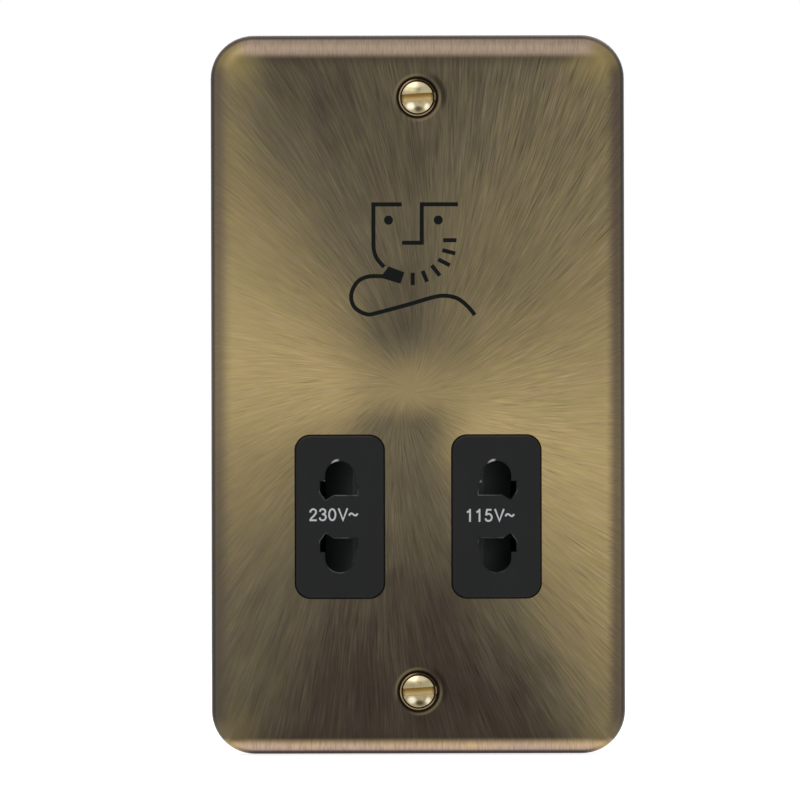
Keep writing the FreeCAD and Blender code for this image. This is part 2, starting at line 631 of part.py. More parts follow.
def make_shutter():
    """One moulded slide: two ramped blocks that close the holes, joined by a web."""
    slide = new_body("shutter", z="0 - outlet_drop")
    left = "0 - outlet_x"
    ramp = "shutter_thick - shutter_land"
    block = new_sketch(slide, "XY")
    clear = "shutter_travel / 2"
    draw_outline(block, [
        (f"{left} - {clear}", "shutter_back"),
        (f"{left} - {clear}", "shutter_back - shutter_land"),
        (f"{left} - {clear} + {ramp}", "shutter_front"),
        (f"{left} - {clear} + 2 * shutter_travel", "shutter_front"),
        (f"{left} - {clear} + 2 * shutter_travel", "shutter_back")])
    body = pad(slide, block, "2 * shutter_half", symmetric=True)
    hollow = new_sketch(slide, "XZ", "shutter_front + core_wall")
    inner = f"{left} - {clear} + {ramp} + core_wall / 2"
    outer = f"{left} - {clear} + 2 * shutter_travel - core_wall"
    for rise in SIDES:
        ends = [f"{rise}(shutter_web + core_wall)", f"{rise}(shutter_half - core_wall)"]
        if rise == "-":
            ends.reverse()
        draw_box(hollow, inner, outer, *ends)
    core = cut(slide, hollow, "shutter_thick")
    mirror(slide, [body, core], "YZ")
    slab(slide, "-shutter_end", "shutter_end", "-shutter_web", "shutter_web",
         "shutter_front", "shutter_back")
    lug_end = "bridge_y"
    slab(slide, "-lug_width", "lug_width", "-lug_height", "lug_height", "shutter_back", lug_end)
    slab(slide, "-stake_half", "stake_half", "-stake_half", "stake_half",
         lug_end, f"{lug_end} + bridge_sheet + stake_length")
    for side in SIDES:
        peg = draw_circle(new_sketch(slide, "YZ", f"{side}shutter_end"),
                          "spring_y", "0", "peg_radius")
        pad(slide, peg, "peg_length", inward=side == "-")
    return slide


def make_bridge():
    """Sprung brass bridge staked on the shutter, with a silver contact at each end."""
    bridge = new_body("bridge_contact", z="0 - outlet_drop")
    slab(bridge, "-bridge_width / 2", "bridge_width / 2", "-bridge_half", "bridge_half",
         "bridge_y", "bridge_y + bridge_sheet")
    slot(bridge, "0 - stake_half - fit_gap / 2", "stake_half + fit_gap / 2",
         "0 - stake_half - fit_gap / 2", "stake_half + fit_gap / 2",
         "bridge_y", "bridge_y + bridge_sheet")
    stems(bridge, [("0", "contact_offset"), ("0", "-contact_offset")], "contact_radius",
          "bridge_y - contact_height", "bridge_y")
    return bridge


def make_springs():
    """Two coils on the shutter's pegs, each pushing it back to the middle."""
    for side, label in (("-", "spring_left"), ("", "spring_right")):
        coil = doc.addObject("Part::Helix", label + "_coil")
        length = "(end_wall_x - shutter_end - 2 * spring_wire)"
        drive(coil, "Radius", "spring_radius")
        drive(coil, "Height", length)
        drive(coil, "Pitch", f"{length} / spring_turns")
        wire = doc.addObject("Part::Circle", label + "_wire")
        drive(wire, "Radius", "spring_wire")
        wire.Placement = Placement(Vector(), Rotation(Vector(1, 0, 0), 90))
        drive(wire, ".Placement.Base.x", "spring_radius")
        spring = doc.addObject("Part::Sweep", label)
        spring.Label = label
        spring.Sections = [wire]
        doc.recompute()
        spring.Spine = (coil, [f"Edge{i + 1}" for i in range(len(coil.Shape.Edges))])
        spring.Solid = True
        spring.Frenet = True
        turn = 90 if side == "" else -90
        spring.Placement = Placement(Vector(), Rotation(Vector(0, 1, 0), turn))
        drive(spring, ".Placement.Base.x", f"{side}(shutter_end + spring_wire)")
        drive(spring, ".Placement.Base.y", "spring_y")
        drive(spring, ".Placement.Base.z", "0 - outlet_drop")


def make_carrier():
    """Moulded base behind the shutter: deck, rails, end walls for the springs and five cells."""
    base = new_body("contact_carrier", z="0 - outlet_drop")
    wide, tall = "deck_half_width", "deck_half_height"
    slab(base, f"-{wide}", wide, f"-{tall}", tall, "deck_front", "deck_back")
    walls = new_sketch(base, "XZ", "track_face")
    for rise in SIDES:
        ends = [f"{rise}({tall} - rail)", f"{rise}{tall}"]
        if rise == "-":
            ends.reverse()
        draw_box(walls, f"-{wide}", wide, *ends)
    pad(base, walls, "deck_front - track_face")
    posts = new_sketch(base, "XZ", "track_face")
    for side in SIDES:
        ends = [f"{side}end_wall_x", f"{side}{wide}"]
        if side == "-":
            ends.reverse()
        draw_box(posts, *ends, "-end_wall_half", "end_wall_half")
    pad(base, posts, "deck_front - track_face")
    local = [(f"{side}column_x", f"{rise}column_z") for side in SIDES for rise in SIDES]
    stems(base, local, "column_radius", "track_face", "deck_front")
    for side in SIDES:
        peg = draw_circle(new_sketch(base, "YZ", f"{side}end_wall_x"),
                          "spring_y", "0", "peg_radius")
        pad(base, peg, "peg_length", inward=side == "")
    slab(base, "-cell_half_width", "cell_half_width", f"-{tall}", tall, "deck_back", "cell_back")
    cells = new_sketch(base, "XZ", "deck_back")
    roof = f"({tall} - cell_wall)"
    draw_box(cells, "-switch_half", "switch_half", f"-{roof}", roof)
    for side in SIDES:
        for rise in SIDES:
            across = [f"{side}(switch_half + cell_wall)", f"{side}(cell_half_width - cell_wall)"]
            upright = [f"{rise}cell_wall / 2", f"{rise}{roof}"]
            if side == "-":
                across.reverse()
            if rise == "-":
                upright.reverse()
            draw_box(cells, *across, *upright)
    cut(base, cells, "cell_depth")
    rooms = new_sketch(base, "XZ", "deck_front")
    for side in SIDES:
        for rise in SIDES:
            upright = [f"{rise}(slant_tip_z - fit_gap)", f"{rise}(hole_top + pin_gap)"]
            if rise == "-":
                upright.reverse()
            draw_box(rooms, f"{side}outlet_x - pin_room", f"{side}outlet_x + pin_room", *upright)
    travel = "lug_width + shutter_travel + shutter_gap"
    draw_box(rooms, f"0 - ({travel})", travel, "0 - lug_height - shutter_gap",
             "lug_height + shutter_gap")
    cut(base, rooms, "deck_thick")
    # the common strap crosses the cell walls through a notch at the back
    slot(base, "-outlet_x", "outlet_x", "0 - strap_z - strap_half - strap_room",
         "strap_half + strap_room - strap_z", "clip_base - strap_room", "cell_back")
    holes(base, local, "carrier_screw + fit_gap", "track_face", "deck_back - track_face")
    stake = [(f"{side}stake_x", f"{rise}stake_z") for side in SIDES for rise in SIDES]
    stems(base, stake, "stake_radius", "cell_back", "cover_back + stake_length")
    return base


def make_cover(tabs):
    """Flat rear cover of the carrier, held by four melted stakes, slotted for the tabs."""
    cover = new_body("contact_cover", z="0 - outlet_drop")
    slab(cover, "-cell_half_width", "cell_half_width", "-deck_half_height", "deck_half_height",
         "cell_back", "cover_back")
    openings = new_sketch(cover, "XZ", "cell_back")
    for x, z in tabs:
        draw_box(openings, f"{x} - tab_width / 2 - tab_room", f"{x} + tab_width / 2 + tab_room",
                 f"{z} - clip_sheet / 2 - tab_room", f"{z} + clip_sheet / 2 + tab_room")
    stakes = [(f"{side}stake_x", f"{rise}stake_z") for side in SIDES for rise in SIDES]
    for x, z in stakes:
        draw_circle(openings, x, z, "stake_radius + fit_gap / 2")
    cut(cover, openings, "cover_thick")
    return cover


def clip_section(sketch, rise):
    """Section of a pin clip: two leaves that pinch in behind a flared mouth."""
    waist = "(clip_mouth + clip_waist)"
    inner, outer, sheet, flare = "clip_inner", "clip_outer", "clip_sheet", "clip_spread * clip_flare"
    points = [
        ("clip_base", f"{inner} - clip_spread"), ("clip_base + clip_sheet", f"{inner} - clip_spread"),
        ("clip_base + clip_sheet", f"{outer} + clip_spread"), ("clip_base", f"{outer} + clip_spread"),
        (waist, outer), ("clip_mouth", f"{outer} + {flare}"),
        ("clip_mouth", f"{outer} + {flare} - {sheet}"), (waist, f"{outer} - {sheet}"),
        ("clip_base", f"{outer} + clip_spread - {sheet}"),
        ("clip_base", f"{inner} - clip_spread + {sheet}"), (waist, f"{inner} + {sheet}"),
        ("clip_mouth", f"{inner} - {flare} + {sheet}"),
        ("clip_mouth", f"{inner} - {flare}"), (waist, inner)]
    return draw_outline(sketch, [(y, f"{rise} * ({z})") for y, z in points])


def make_contacts():
    """Three sprung brass clips: one for each voltage, and a common one for both outlets."""
    for side, label in (("-", "contact_230"), ("", "contact_115")):
        clip = new_body(label, z="0 - outlet_drop")
        middle = new_sketch(clip, "YZ", f"{side}outlet_x")
        pad(clip, clip_section(middle, 1), "clip_width", symmetric=True)
        x, z = f"{side}outlet_x", "common_z"
        slab(clip, f"{x} - tab_width / 2", f"{x} + tab_width / 2",
             f"{z} - clip_sheet / 2", f"{z} + clip_sheet / 2", "clip_base + clip_sheet", "tab_end")
    common = new_body("contact_common", z="0 - outlet_drop")
    for side in SIDES:
        middle = new_sketch(common, "YZ", f"{side}outlet_x")
        pad(common, clip_section(middle, -1), "clip_width", symmetric=True)
    slab(common, "-outlet_x", "outlet_x", "0 - strap_z - strap_half", "strap_half - strap_z",
         "clip_base", "clip_base + clip_sheet")
    slab(common, "common_tab_x - tab_width / 2", "common_tab_x + tab_width / 2",
         "0 - strap_z - clip_sheet / 2", "clip_sheet / 2 - strap_z",
         "clip_base + clip_sheet", "tab_end")


def make_switch():
    """Fixed contacts under the bridge: a full rail, and two pads joined by a strap."""
    line = new_body("switch_line", z="0 - outlet_drop")
    slab(line, "-rail_half", "rail_half", "contact_offset - contact_half", "rail_z + clip_sheet",
         "deck_back", "deck_back + clip_sheet")
    slab(line, "0 - line_tab_x - tab_width / 2", "tab_width / 2 - line_tab_x",
         "rail_z", "rail_z + clip_sheet", "deck_back + clip_sheet", "tab_end")
    load = new_body("switch_load", z="0 - outlet_drop")
    left, right, low, top = "-rail_half", "rail_half", "-load_z", "contact_half - contact_offset"
    outline = [
        (left, low), (right, low), (right, top), ("load_gap", top), ("load_gap", "-rail_z"),
        ("-load_gap", "-rail_z"), ("-load_gap", top), (left, top)]
    pad(load, draw_outline(new_sketch(load, "XZ", "deck_back"), outline), "clip_sheet")
    slab(load, "-tab_width / 2", "tab_width / 2", "0 - rail_z - clip_sheet", "-rail_z",
         "deck_back + clip_sheet", "tab_end")


TABS = [("-outlet_x", "common_z"), ("outlet_x", "common_z"), ("common_tab_x", "-strap_z"),
        ("-line_tab_x", "rail_z + clip_sheet / 2"), ("0", "0 - rail_z - clip_sheet / 2")]


def tube_block(body, half_x, half_y, low, high, corner=None):
    """A rectangular block round the Z axis, with its upright corners rounded."""
    sketch = draw_box(new_sketch(body, "XY", low), f"-{half_x}", half_x, f"-{half_y}", half_y)
    feature = pad(body, sketch, f"({high}) - ({low})", inward=False)
    if corner:
        def upright(point, along, edge):
            near = abs(abs(point.x) - number(half_x)) < 0.01
            return abs(along.z) > 0.99 and near
        round_edges(body, corner, upright)
    return feature


def make_transformer():
    """Laminated core, two-chamber bobbin, its two windings and the pressed frame round them."""
    place = {"y": "core_centre_y", "z": "core_centre_z"}
    core = new_body("transformer_core", **place)
    stack = new_sketch(core, "XZ")
    draw_box(stack, "-core_width / 2", "core_width / 2", "-core_height / 2", "core_height / 2")
    window = "(core_height / 2 - core_limb)"
    draw_box(stack, "core_limb", "2 * core_limb", f"-{window}", window)
    draw_box(stack, "-2 * core_limb", "-core_limb", f"-{window}", window)
    pad(core, stack, "core_stack", symmetric=True)

    bobbin = new_body("bobbin", **place)
    tube_block(bobbin, "bobbin_x", "bobbin_y", "-bobbin_z", "bobbin_z")
    for low in ("-bobbin_z", "-flange_thick / 2", "bobbin_z - flange_thick"):
        tube_block(bobbin, "(winding_x + winding_inset / 2)", "flange_half_y", low,
                   f"{low} + flange_thick")
    hole = draw_box(new_sketch(bobbin, "XY", "-bobbin_z"), "0 - core_limb - bobbin_gap",
                    "core_limb + bobbin_gap", "0 - core_stack / 2 - bobbin_gap",
                    "core_stack / 2 + bobbin_gap")
    cut(bobbin, hole, "2 * bobbin_z", inward=False)

    chambers = (("secondary_winding", "flange_thick - bobbin_z", "-flange_thick / 2"),
                ("primary_winding", "flange_thick / 2", "bobbin_z - flange_thick"))
    for label, low, high in chambers:
        coil = new_body(label, **place)
        tube_block(coil, "winding_x", "winding_y", low, high, "winding_corner")
        opening = draw_box(new_sketch(coil, "XY", low), "-bobbin_x", "bobbin_x",
                           "-bobbin_y", "bobbin_y")
        cut(coil, opening, f"({high}) - ({low})", inward=False)

    frame = new_body("transformer_frame", **place)
    front = "0 - core_stack / 2 - frame_sheet"
    side_x = "(core_width / 2 + frame_gap + frame_sheet)"
    slab(frame, f"-{side_x}", side_x, "-core_height / 2", "core_height / 2",
         front, "0 - core_stack / 2")
    slot(frame, "0 - 2 * core_limb - frame_room", "2 * core_limb + frame_room",
         f"0 - {window} - frame_room", f"{window} + frame_room", front, "0 - core_stack / 2")
    flanges = new_sketch(frame, "XZ", "0 - core_stack / 2")
    crimps = new_sketch(frame, "XZ", "core_stack / 2")
    for side in SIDES:
        across = [f"{side}({side_x} - frame_sheet)", f"{side}{side_x}"]
        folded = [f"{side}({side_x} - crimp)", f"{side}{side_x}"]
        if side == "-":
            across.reverse()
            folded.reverse()
        draw_box(flanges, *across, "0 - crimp_z - crimp", "crimp_z + crimp")
        for low in ("0 - crimp_z - crimp", "crimp_z"):
            draw_box(crimps, *folded, low, f"{low} + crimp")
    pad(frame, flanges, "core_stack")
    pad(frame, crimps, "frame_sheet")
    ears = new_sketch(frame, "XZ", front)
    for rise in SIDES:
        upright = [f"{rise}core_height / 2", f"{rise}(ear_z + frame_ear / 2)"]
        if rise == "-":
            upright.reverse()
        draw_box(ears, "-frame_ear_width / 2", "frame_ear_width / 2", *upright)
    pad(frame, ears, "frame_sheet")
    holes(frame, [("0", "ear_z"), ("0", "-ear_z")], "carrier_screw + fit_gap", front, "frame_sheet")

    cutout = new_body("thermal_cutout", y="winding_front - cutout_thick", z="cutout_z")
    slab(cutout, "-cutout_width / 2", "cutout_width / 2", "-cutout_height / 2",
         "cutout_height / 2", "0", "cutout_thick")
    round_edges(cutout, "cutout_thick * 0.3", lambda point, along, edge: abs(along.z) > 0.99)


def make_terminals():
    """Moulded terminal block with three brass terminals, their clamp screws and the earth strap."""
    block = new_body("terminal_block")
    half_x = "block_half_x"
    slab(block, f"-{half_x}", half_x, "-block_foot", "-block_top", "joint_depth", "block_back")
    centres = ["-terminal_pitch", "0", "terminal_pitch"]
    cells = new_sketch(block, "XY", "-block_foot")
    leads = new_sketch(block, "XY", "-terminal_top")
    for x in centres:
        draw_box(cells, f"{x} - terminal_width / 2 - fit_gap", f"{x} + terminal_width / 2 + fit_gap",
                 "terminal_y - terminal_depth / 2 - fit_gap",
                 "terminal_y + terminal_depth / 2 + fit_gap")
        draw_circle(leads, x, "terminal_y", "lead_radius + lead_gap")
    cut(block, cells, "block_foot - terminal_top", inward=False)
    cut(block, leads, "block_roof", inward=False)
    holes(block, [(x, "-block_z") for x in centres], "clamp_head + lead_gap",
          "terminal_y + terminal_depth / 2", "block_back - terminal_y - terminal_depth / 2")
    holes(block, BLOCK_SCREWS, "carrier_screw + fit_gap", "joint_depth", "block_depth")
    slot(block, "terminal_pitch + terminal_width / 2", half_x,
         "0 - earth_drop - earth_width / 2 - fit_gap", "earth_width / 2 - earth_drop",
         "terminal_y - earth_sheet / 2 - fit_gap", "terminal_y + earth_sheet / 2 + fit_gap")
    screws = []
    for x, label in zip(centres, ("terminal_live", "terminal_neutral", "terminal_earth")):
        clamp = new_body(label, x=x, y="terminal_y")
        bottom = "(0 - terminal_top - terminal_height)"
        sketch = draw_box(new_sketch(clamp, "XY", bottom), "-terminal_width / 2",
                          "terminal_width / 2", "-terminal_depth / 2", "terminal_depth / 2")
        pad(clamp, sketch, "terminal_height", inward=False)
        mouth = draw_circle(new_sketch(clamp, "XY", bottom), "0", "0", "wire_bore")
        cut(clamp, mouth, "wire_bore_depth", inward=False)
        holes(clamp, [("0", "-block_z")], "clamp_screw + thread_gap", "0", "terminal_depth")
        screws.append(headed_screw(
            label + "_screw", x, "-block_z", "terminal_y + terminal_depth / 2 + clamp_stand",
            "clamp_screw", "terminal_depth / 2 - wire_bore", "clamp_head", "clamp_head_thick"))
    group("terminal_screws", screws)

    strap = new_body("earth_strap")
    back = "(panel_back + nut_thick)"
    level = "(terminal_y - earth_sheet / 2)"
    outside = f"({half_x} + strap_stand)"
    bend = draw_outline(new_sketch(strap, "XY", "-earth_drop"), [
        ("stud_low_x", back), ("stud_low_x", f"{back} + earth_sheet"),
        (f"{outside} + earth_sheet", f"{back} + earth_sheet"),
        (f"{outside} + earth_sheet", f"{level} + earth_sheet"),
        ("terminal_pitch + terminal_width / 2", f"{level} + earth_sheet"),
        ("terminal_pitch + terminal_width / 2", level), (outside, level), (outside, back)])
    pad(strap, bend, "earth_width", symmetric=True)
    stems(strap, [STUDS[-1]], "nut_radius", back, f"{back} + earth_sheet")
    holes(strap, [STUDS[-1]], "stud_radius + fit_gap", back, "earth_sheet")


def make_housing():
    """Moulded rear shell: deep behind the transformer, shallower behind the contacts."""
    shell = new_body("rear_housing")
    wide, top, foot, step = "body_half_x", "body_half_z", "-housing_foot", "-housing_step"
    slab(shell, f"-{wide}", wide, foot, top, "joint_depth", "housing_low_depth")
    slab(shell, f"-{wide}", wide, step, top, "housing_low_depth", "housing_depth")
    half = number(wide)
    places = [number(top), number(foot), number(step)]

    def outline(point, along, edge):
        near_z = any(abs(point.z - place) < 0.01 for place in places)
        deep = point.z > places[2] + 0.01 or point.y < number("housing_low_depth")
        return abs(along.y) > 0.99 and abs(abs(point.x) - half) < 0.01 and near_z and deep
    round_edges(shell, "body_corner", outline)
    backs = [number("housing_low_depth"), number("housing_depth")]
    low_back = number(step) - 0.01

    def rear(point, along, edge):
        on_low = abs(point.y - backs[0]) < 0.01 and point.z < low_back
        return abs(point.y - backs[1]) < 0.01 or on_low
    round_edges(shell, "housing_edge", rear)
    inner_x = "(body_half_x - body_wall)"
    slot(shell, f"-{inner_x}", inner_x, "body_wall - housing_foot", "body_half_z - body_wall",
         "joint_depth", "housing_low_depth - body_wall")
    slot(shell, f"-{inner_x}", inner_x, "body_wall - housing_step", "body_half_z - body_wall",
         "housing_low_depth - body_wall", "housing_depth - body_wall")
    stems(shell, POSTS, "post_radius", "joint_depth", "housing_depth - body_wall")
    holes(shell, POSTS, "housing_screw + fit_gap", "joint_depth", "post_seat")
    holes(shell, POSTS, "housing_head + lead_gap", "joint_depth + post_seat",
          "housing_depth - joint_depth - post_seat")
    leads = new_sketch(shell, "XY", foot)
    draw_circle(leads, "-terminal_pitch", "terminal_y", "lead_radius + lead_gap")
    draw_circle(leads, "0", "terminal_y", "lead_radius + lead_gap")
    cut(shell, leads, "body_wall", inward=False)
    vent = draw_box(new_sketch(shell, "XZ", "housing_depth - body_wall"), "-vent_width / 2",
                    "vent_width / 2", "vent_foot", "vent_foot + vent_height")
    first = cut(shell, vent, "body_wall + cut_over")
    rows = shell.newObject("PartDesign::LinearPattern", "rear_housing_vents")
    rows.Originals = [first]
    rows.Direction = (vent, ["V_Axis"])
    rows.Mode = "Spacing"
    drive(rows, "Offset", "vent_pitch")
    drive(rows, "Occurrences", "vent_count")
    shell.Tip = rows
    doc.recompute()
    return shell


def make_small_screws():
    """Screws that hold the carrier, the transformer's frame, the terminal block and the shell."""
    rows = (
        ("carrier_screws", COLUMNS, "deck_back", "carrier_screw",
         "deck_back - track_face + column_pilot - screw_end_gap", "carrier_head"),
        ("frame_screws", EARS, "core_front", "carrier_screw",
         "frame_sheet + pilot_depth - screw_end_gap", "carrier_head"),
        ("block_screws", BLOCK_SCREWS, "block_back", "carrier_screw",
         "block_depth + post_pilot - screw_end_gap", "carrier_head"),
        ("housing_screws", POSTS, "joint_depth + post_seat", "housing_screw",
         "post_seat + post_pilot - screw_end_gap", "housing_head"))
    for label, places, seat, shank, length, head in rows:
        group(label, [
            headed_screw(label + "_one", x, z, seat, shank, length, head, head + "_thick")
            for x, z in places])


def route_wire(label, points):
    """An insulated lead along straight runs joined by arcs, as far as its runs allow."""
    places = [Vector(*(number(text) for text in point)) for point in points]
    radius = number("lead_radius")
    edges = []
    start = places[0]
    for before, corner, after in zip(places, places[1:], places[2:]):
        way_in = (corner - before).normalize()
        way_out = (after - corner).normalize()
        turn = way_in.getAngle(way_out)
        room = 0.45 * min((corner - before).Length, (after - corner).Length)
        trim = min(room, number("lead_bend") * math.tan(turn / 2))
        enter = corner - way_in * trim
        leave = corner + way_out * trim
        size = trim / math.tan(turn / 2)
        centre = enter + (way_out - way_in * math.cos(turn)).normalize() * size
        middle = centre + (corner - centre).normalize() * size
        edges.append(Part.makeLine(start, enter))
        edges.append(Part.Arc(enter, middle, leave).toShape())
        start = leave
    edges.append(Part.makeLine(start, places[-1]))
    path = Part.Wire(edges)
    ring = Part.Wire(Part.makeCircle(radius, places[0], places[1] - places[0]))
    lead = doc.addObject("Part::Feature", label)
    lead.Label = label
    lead.Shape = path.makePipeShell([ring], True, True)
    expected = math.pi * radius ** 2 * path.Length
    if abs(lead.Shape.Volume - expected) > 0.02 * expected:
        raise RuntimeError(f"{label} has volume {lead.Shape.Volume} and not {expected}")
    return lead


def make_leads():
    """Insulated leads between the terminals, the switch, the windings and the clips."""
    lane, front = "lead_back_y", "lead_front_y"
    foot = "0 - (deck_foot + housing_foot - body_wall) / 2"
    back = "-lead_ledge"
    secondary_z = "core_centre_z - bobbin_z / 2"
    tab_z = "common_z + clip_sheet / 2 - outlet_drop"
    neutral_in = "cutout_z + primary_lead_z"
    cutout_in = "cutout_z - cutout_lead_drop"
    common_in = f"{secondary_z} - common_lead_drop"
    routes = {
        "lead_live": [
            ("-terminal_pitch", "terminal_y", "-terminal_top"),
            ("-terminal_pitch", "terminal_y", foot), ("-terminal_pitch", lane, foot),
            ("-terminal_pitch", lane, f"{foot} + lead_step"),
            ("-line_tab_x", lane, f"{foot} + 2 * lead_step"),
            ("-line_tab_x", lane, "rail_z - outlet_drop")],
        "lead_neutral": [
            ("0", "terminal_y", "-terminal_top"), ("0", "terminal_y", foot),
            ("winding_lead_x", lane, foot), ("neutral_x", lane, f"{foot} + lead_step"),
            ("neutral_x", lane, back), ("neutral_x", front, back),
            ("neutral_x", front, "cutout_z - lead_step"),
            ("primary_lead_x", front, neutral_in), ("primary_lead_x", "winding_front", neutral_in)],
        "lead_switched": [
            ("0", lane, "0 - rail_z - outlet_drop"), ("0", lane, f"{back} - lead_step"),
            ("-switched_x", lane, back), ("-switched_x", front, back),
            ("-switched_x", front, "lead_rise"), ("-cutout_lead_x", "cutout_y", "2 * lead_rise"),
            ("-cutout_lead_x", "cutout_y", "cutout_z - cutout_height / 2")],
        "lead_cutout": [
            ("cutout_width / 2", "cutout_y", cutout_in),
            ("cutout_width / 2 + cutout_lead_x", "cutout_y", cutout_in),
            ("cutout_width / 2 + cutout_lead_x", "winding_front", cutout_in)],
        "lead_230": [
            ("-outlet_x", lane, tab_z), ("-outlet_x", lane, back), ("-outlet_x", front, back),
            ("-outlet_x", front, "lead_rise"), ("-winding_lead_x", front, secondary_z),
            ("-winding_lead_x", "winding_front", secondary_z)],
        "lead_115": [
            ("outlet_x", lane, tab_z), ("outlet_x", lane, back), ("outlet_x", front, back),
            ("outlet_x", front, "lead_rise"), ("winding_lead_x", front, secondary_z),
            ("winding_lead_x", "winding_front", secondary_z)],
        "lead_common": [
            ("common_tab_x", lane, "clip_sheet / 2 - strap_z - outlet_drop"),
            ("common_tab_x", lane, back), ("common_tab_x", front, back),
            ("common_tab_x", front, common_in), ("common_tab_x", "winding_front", common_in)],
    }
    for label, points in routes.items():
        route_wire(label, points)


make_front_plate()
make_fixing_screws()
make_socket_moulding()
make_studs_and_nuts()
make_shutter()
make_bridge()
make_springs()
make_carrier()
make_cover(TABS)
make_contacts()
make_switch()
make_transformer()
make_terminals()
make_housing()
make_small_screws()
make_leads()

NODES = [
    "front_plate", "fixing_screws", "socket_moulding", "plate_studs", "plate_nuts", "earth_nut",
    "shutter", "spring_left", "spring_right", "bridge_contact", "contact_carrier",
    "contact_cover", "contact_230", "contact_115", "contact_common", "switch_line",
    "switch_load", "carrier_screws", "transformer_core", "bobbin", "primary_winding",
    "secondary_winding", "transformer_frame", "frame_screws", "thermal_cutout",
    "terminal_block", "terminal_live", "terminal_neutral", "terminal_earth",
    "terminal_screws", "block_screws", "earth_strap", "rear_housing", "housing_screws",
    "lead_live", "lead_neutral", "lead_switched", "lead_cutout", "lead_230", "lead_115",
    "lead_common",
]

doc.recompute()
for item in doc.Objects:
    if {"Invalid", "Error"} & set(item.State):
        raise RuntimeError(f"{item.Label} did not recompute: {item.State}")
os.makedirs("parts", exist_ok=True)
for label in NODES:
    shape = doc.getObjectsByLabel(label)[0].Shape
    if shape.isNull() or not shape.isValid() or not shape.Solids:
        raise RuntimeError(f"{label} has no sound solid")
    shape.exportStep(f"parts/{label}.step")
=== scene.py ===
import math

import bmesh
import bpy
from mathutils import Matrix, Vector


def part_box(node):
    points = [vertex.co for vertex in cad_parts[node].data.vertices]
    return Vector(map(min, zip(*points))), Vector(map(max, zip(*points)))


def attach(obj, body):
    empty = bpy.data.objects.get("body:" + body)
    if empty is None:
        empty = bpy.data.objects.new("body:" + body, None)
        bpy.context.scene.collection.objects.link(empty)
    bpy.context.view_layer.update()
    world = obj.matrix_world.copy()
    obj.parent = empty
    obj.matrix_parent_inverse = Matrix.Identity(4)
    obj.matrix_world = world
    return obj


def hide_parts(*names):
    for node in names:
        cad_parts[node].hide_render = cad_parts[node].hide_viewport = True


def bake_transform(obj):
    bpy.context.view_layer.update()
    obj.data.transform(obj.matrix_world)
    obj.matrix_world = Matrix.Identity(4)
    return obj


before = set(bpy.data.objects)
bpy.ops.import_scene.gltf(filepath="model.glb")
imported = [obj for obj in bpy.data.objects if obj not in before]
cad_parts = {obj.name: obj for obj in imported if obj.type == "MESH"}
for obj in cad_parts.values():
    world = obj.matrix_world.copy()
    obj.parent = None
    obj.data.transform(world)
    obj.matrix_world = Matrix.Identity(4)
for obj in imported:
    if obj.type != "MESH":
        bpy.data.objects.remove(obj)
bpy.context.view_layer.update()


# Front plate. One sheet of brass, pressed into a shallow tray with a rolled edge and a dimple
# for each screw. Its face is brushed in rays from one point, chemically aged to a dark brown and
# lacquered. The bright fans that its brushing reflects are painted into its colour as sheen, and
# so is the light and shade on its rolled edge and round its screws. Two screws hold it to the wall
# box.
MM = 0.001


class Signal:
    """A shader socket that can stand in plain sums and products."""

    def __init__(self, finish, socket):
        self.finish = finish
        self.socket = socket

    def math(self, operation, *others):
        return self.finish.node("Math", {"operation": operation}, dict(enumerate((self, *others))))

    def __add__(self, other):
        return self.math("ADD", other)

    def __sub__(self, other):
        return self.math("SUBTRACT", other)

    def __rsub__(self, other):
        return (self * -1) + other

    def __mul__(self, other):
        return self.math("MULTIPLY", other)

    def __truediv__(self, other):
        return self.math("DIVIDE", other)

    def __abs__(self):
        return self.math("ABSOLUTE")

    __radd__ = __add__
    __rmul__ = __mul__

    def rise(self, low, high):
        """0 up to low, 1 from high on, and smooth between them."""
        return self.finish.node("MapRange", {"interpolation_type": "SMOOTHSTEP"},
                                {"Value": self, "From Min": low, "From Max": high})

    def between(self, first, second):
        """The first colour where this signal is 0, and the second where it is 1."""
        return self.finish.node("Mix", {"data_type": "RGBA"}, {0: self, 6: first, 7: second}, 2)


class Nodes:
    """The shader nodes of a material or a world, which all come from one method."""

    def __init__(self, owner):
        owner.use_nodes = True
        self.tree = owner.node_tree
        self.tree.nodes.clear()

    def node(self, kind, settings, inputs, output=0):
        made = self.tree.nodes.new("ShaderNode" + kind)
        for name, value in settings.items():
            if name == "stops":
                made.color_ramp.elements.remove(made.color_ramp.elements[0])
                made.color_ramp.elements[0].position = 0
                made.color_ramp.elements[0].color = value[0][1]
                for position, colour in value[1:]:
                    made.color_ramp.elements.new(position).color = colour
            else:
                setattr(made, name, value)
        for name, value in inputs.items():
            if isinstance(value, Signal):
                self.tree.links.new(value.socket, made.inputs[name])
            else:
                made.inputs[name].default_value = value
        return Signal(self, made.outputs[output]) if made.outputs else None


